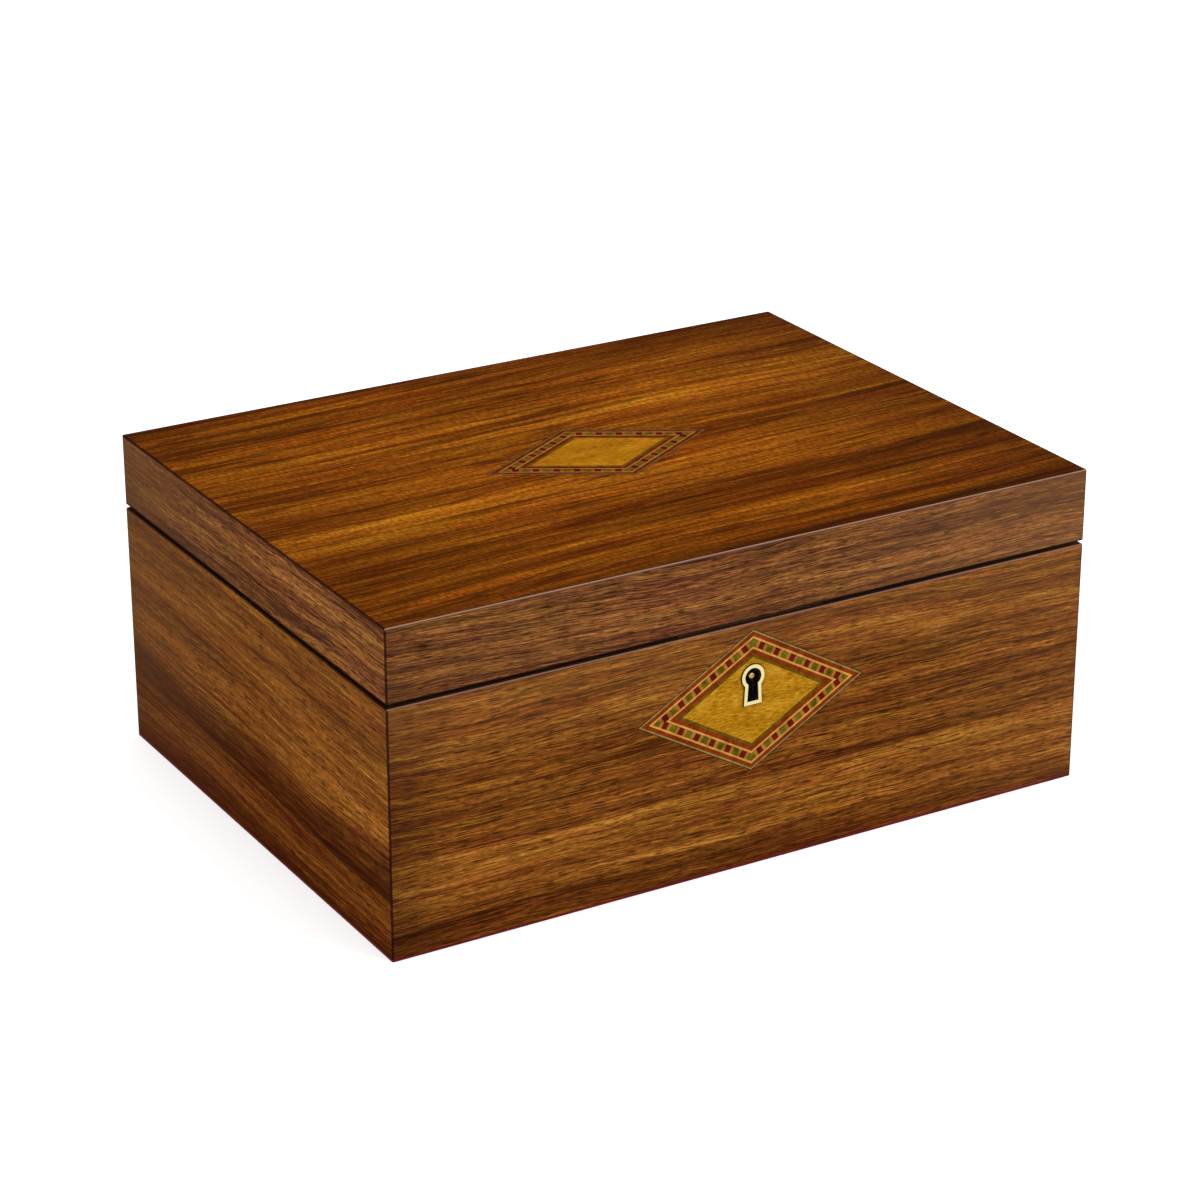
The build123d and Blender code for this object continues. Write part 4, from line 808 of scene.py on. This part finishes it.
# Velvet lining. Card boards, partitions and ledges are wrapped in short burgundy velvet, whose
# pile catches the light at its edges and lies in soft cloudy patches.
velvet_hues = ((0.34, (0.085, 0.004, 0.010)), (0.66, (0.190, 0.012, 0.026)))
velvet_sheen = (1.0, 0.30, 0.34, 1)
pile_depth = 0.0002
burgundy, tree, surface = shader("burgundy_velvet")
place = put(tree, "ShaderNodeTexCoord").outputs["Object"]
lie = clouds(tree, place, 42.0, detail=3.0, distortion=0.6)
pile = clouds(tree, place, 2600.0)
tree.links.new(ramp(tree, mixed(tree, lie, pile, 0.7), velvet_hues), surface.inputs["Base Color"])
surface.inputs["Roughness"].default_value = 0.9
surface.inputs["Specular IOR Level"].default_value = 0.1
surface.inputs["Sheen Weight"].default_value = 0.26
surface.inputs["Sheen Roughness"].default_value = 0.45
surface.inputs["Sheen Tint"].default_value = velvet_sheen
height = reckon(tree, "MULTIPLY_ADD", lie, 2.0, pile)
relief(tree, surface, height, strength=0.5, depth=pile_depth)
face_with(burgundy, "side_liners", "back_liner", "front_liner", "main_divider", "ring_divider",
          "movement_divider", "short_divider", "cover_ledges")


# Floor pads. Three cards with thin foam under the velvet lie loose in the bays, crowned by the
# foam and drawn in at their edges.
pad_step = 0.004  # the width of the strips that its mesh is cut into
pad_easing = 0.0011
pad_crown = 0.0010


def foam_block(shape, low, high):
    """A square block from one corner to the other."""
    matrix = Matrix.Translation((low + high) / 2) @ Matrix.Diagonal((*(high - low), 1))
    bmesh.ops.create_cube(shape, size=1.0, matrix=matrix)


def eased(shape, edges, offset, segments=3):
    """Rounds edges off."""
    bmesh.ops.bevel(
        shape, geom=edges, offset=offset, segments=segments, profile=0.5, affect="EDGES", material=-1
    )


def cut_up(shape, step, axes):
    """Cuts a shape into strips of even width along each axis."""
    for axis in axes:
        start = min(vert.co[axis] for vert in shape.verts)
        reach = max(vert.co[axis] for vert in shape.verts) - start
        square = Vector([float(axis == other) for other in range(3)])
        for place in range(1, round(reach / step)):
            bmesh.ops.bisect_plane(
                shape, geom=shape.verts[:] + shape.edges[:] + shape.faces[:],
                plane_co=square * (start + place * step), plane_no=square,
            )


def stuffed(piece, stays, crown, frames=14, pressure=4.0):
    """Puffs a velvet cover over its foam with a cloth simulation. What stays is pinned, and the
    whole swelling is scaled so that its highest point rises by the crown."""
    mesh = piece.data
    before = [point.co.copy() for point in mesh.vertices]
    held = piece.vertex_groups.new(name="held")
    held.add([point.index for point in mesh.vertices if stays(point.co)], 1.0, "REPLACE")
    cloth = piece.modifiers.new("cloth", "CLOTH")
    cloth.settings.use_pressure = True
    cloth.settings.uniform_pressure_force = pressure
    cloth.settings.vertex_group_mass = "held"
    cloth.settings.effector_weights.gravity = 0
    cloth.point_cache.frame_start = 1
    cloth.point_cache.frame_end = frames
    for step in range(1, frames + 1):
        bpy.context.scene.frame_set(step)
    puffed = piece.evaluated_get(bpy.context.evaluated_depsgraph_get())
    moves = [after.co - start for after, start in zip(puffed.data.vertices, before)]
    piece.modifiers.remove(cloth)
    piece.vertex_groups.remove(held)
    bpy.context.scene.frame_set(1)
    share = crown / max(crown, *(move.length for move in moves))
    for point, start, move in zip(mesh.vertices, before, moves):
        point.co = start + move * share
    mesh.shade_smooth()
    return piece


def islands(name):
    """The lowest and highest corner of each separate solid of a node."""
    shape = bmesh.new()
    shape.from_mesh(nodes[name].data)
    bmesh.ops.remove_doubles(shape, verts=shape.verts, dist=same_place)
    left = set(shape.verts)
    found = []
    while left:
        group = [left.pop()]
        for vert in group:
            joined = {other for edge in vert.link_edges for other in edge.verts} & left
            left -= joined
            group.extend(joined)
        low = Vector([min(vert.co[axis] for vert in group) for axis in range(3)])
        high = Vector([max(vert.co[axis] for vert in group) for axis in range(3)])
        found.append((low, high))
    shape.free()
    return sorted(found, key=lambda corners: tuple(corners[0]))


shape = bmesh.new()
for low, high in islands("floor_pads"):
    foam_block(shape, low, high - Vector((0, 0, pad_crown / 2)))
eased(shape, shape.edges[:], pad_easing)
cut_up(shape, pad_step, (0, 1))
pads_foot = low.z + pad_easing
piece = new_piece("floor_pad_velvet", shape, [burgundy], "case", "floor_pads")
stuffed(piece, lambda point: point.z < pads_foot, pad_crown)


# Ring rolls. A foam bed fills the front bay, and four rolls lie side by side on it, so that a ring
# is held in the slit between two of them. Each is velvet over a half-round foam stick.
bed_easing = 0.001
roll_step = 0.0035
roll_crown = 0.0005
roll_round = 0.97  # the share of its half width that a roll's top is rounded by
roll_end_easing = 0.0018
roll_foot = 0.001
low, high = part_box("ring_bed")
shape = bmesh.new()
foam_block(shape, low, high)
eased(shape, shape.edges[:], bed_easing)
piece = new_piece("ring_foam", shape, [burgundy], "case", "ring_bed")

shape = bmesh.new()
for low, high in islands("ring_rolls"):
    foam_block(shape, low, high)
half_width = (high.y - low.y) / 2
# The two long upper edges of each stick are rounded until they meet, and then its ends are eased.
shoulders = [
    edge for edge in shape.edges
    if all(vert.co.z > low.z + roll_foot for vert in edge.verts)
    and edge.calc_length() > 3 * half_width
]
eased(shape, shoulders, half_width * roll_round, segments=9)
ends = [
    edge for edge in shape.edges
    if edge.calc_face_angle() > 1 and max(vert.co.z for vert in edge.verts) > low.z + roll_foot
]
eased(shape, ends, roll_end_easing)
cut_up(shape, roll_step, (0,))
rolls_foot = low.z + 2 * roll_foot
piece = new_piece("ring_roll_velvet", shape, [burgundy], "case", "ring_rolls")
stuffed(piece, lambda point: point.z < rolls_foot, roll_crown, frames=8)


# Mirror and its frame. A silvered glass lies against the lid, held by a padded velvet frame with
# mitred corners that laps over its edges. The stop rod's tip dents the frame.
material, tree, surface = shader("silvered_glass")
place = put(tree, "ShaderNodeTexCoord").outputs["Object"]
haze = clouds(tree, place, 30.0)
surface.inputs["Base Color"].default_value = (0.86, 0.88, 0.88, 1)
surface.inputs["Metallic"].default_value = 1.0
tree.links.new(spread(tree, haze, *noise_range, 0.015, 0.03), surface.inputs["Roughness"])
face_with(material, "lid_mirror")

low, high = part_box("lid_lining")
mirror_low, mirror_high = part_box("lid_mirror")
frame_lap = 0.003
frame_room = 0.0003
frame_gap = 0.00005  # between the frame and the face of the mirror
frame_crown = 0.0012
frame_step = 0.0045
puffed_depth = 0.001  # how far its padded face reaches back
mitre_depth = 0.0009
mitre_width = 0.0016
rod_room = 0.0002
dent_reach = 0.0045
dent_slope = 0.5
shape = bmesh.new()
size = high - low
flat = Matrix.Translation(((low.x + high.x) / 2, (low.y + high.y) / 2, low.z + frame_crown / 2))
flat = flat @ Matrix.Diagonal((size.x, size.y, 1, 1))
bmesh.ops.create_grid(shape, x_segments=1, y_segments=1, size=0.5, matrix=flat)
sheet = shape.faces[:][0]
bmesh.ops.inset_individual(
    shape, faces=[sheet], thickness=mirror_low.x - frame_room - low.x, use_even_offset=True
)
for vert in sheet.verts:
    vert.co.y = math.copysign(mirror_high.y + frame_room, vert.co.y)
bmesh.ops.inset_individual(
    shape, faces=[sheet], thickness=frame_lap + frame_room, use_even_offset=True
)
bmesh.ops.delete(shape, geom=[sheet], context="FACES_ONLY")
cut_up(shape, frame_step, (0, 1))
for rise, borders_only in ((mirror_low.z - low.z - frame_crown / 2 - frame_gap, False),
                           (high.z - mirror_low.z, True)):
    top = max(vert.co.z for vert in shape.verts)
    raised = []
    for face in shape.faces:
        middle = face.calc_center_median()
        outside = abs(middle.x) > mirror_high.x or abs(middle.y) > mirror_high.y
        if abs(middle.z - top) < same_place and (outside or not borders_only):
            raised.append(face)
    grown = bmesh.ops.extrude_face_region(shape, geom=raised, use_keep_orig=not borders_only)
    lifted = [item for item in grown["geom"] if isinstance(item, bmesh.types.BMVert)]
    bmesh.ops.translate(shape, verts=lifted, vec=(0, 0, rise))
bmesh.ops.remove_doubles(shape, verts=shape.verts, dist=same_place)
piece = new_piece("lid_frame_pad", shape, [burgundy], "lid", "lid_lining")
frame_back = low.z + puffed_depth
stuffed(piece, lambda point: point.z > frame_back, frame_crown, frames=10, pressure=6.0)
rod_low, rod_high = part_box("stop_rod")
rod_tip = ((rod_low + rod_high) / 2).xy
for point in piece.data.vertices:
    if point.co.z < frame_back:
        from_mitre = abs(abs(point.co.x) - high.x - abs(point.co.y) + high.y) / math.sqrt(2)
        point.co.z += mitre_depth * math.exp(-(from_mitre / mitre_width) ** 2)
        away = (point.co.xy - rod_tip).length
        dent = rod_high.z + rod_room - dent_slope * max(0.0, away - dent_reach)
        point.co.z = max(point.co.z, dent)


# Musical movement. Stamped brass bedplate, bridge and spring housing, a hardened steel comb, a
# pinned brass cylinder, brass wheels, and a governor with a little fan, all screwed to the floor.
gilt = metal("gilt_brass", (0.86, 0.66, 0.30), 0.22, 0.15)
tempered = metal("tempered_steel", (0.50, 0.52, 0.56), 0.20, 0.35)
face_with(gilt, "movement_bedplate", "cylinder_bridge", "spring_housing", "governor_frame")
face_with(brass, "great_wheel", "cylinder_arbor", "governor_wheel", "fan")
face_with(metal("cylinder_brass", (0.84, 0.62, 0.28), 0.18, 0.3), "cylinder")
face_with(tempered, "comb", "mainspring")
face_with(steel, "fan_shaft", "winding_arbor", "stop_lever", "stop_rod", "movement_screws",
          "comb_screws")
face_with(metal("nickel_key", (0.72, 0.70, 0.66), 0.24, 0.15), "winding_key")


# Clear cover. A plate of polished acrylic keeps fingers and velvet dust off the movement.
material, tree, surface = shader("clear_acrylic")
place = put(tree, "ShaderNodeTexCoord").outputs["Object"]
wipe = clouds(tree, place, 45.0, detail=3.0)
surface.inputs["Base Color"].default_value = (0.97, 0.985, 0.98, 1)
surface.inputs["Transmission Weight"].default_value = 1.0
surface.inputs["IOR"].default_value = 1.49
tree.links.new(spread(tree, wipe, *noise_range, 0.01, 0.05), surface.inputs["Roughness"])
face_with(material, "movement_cover")
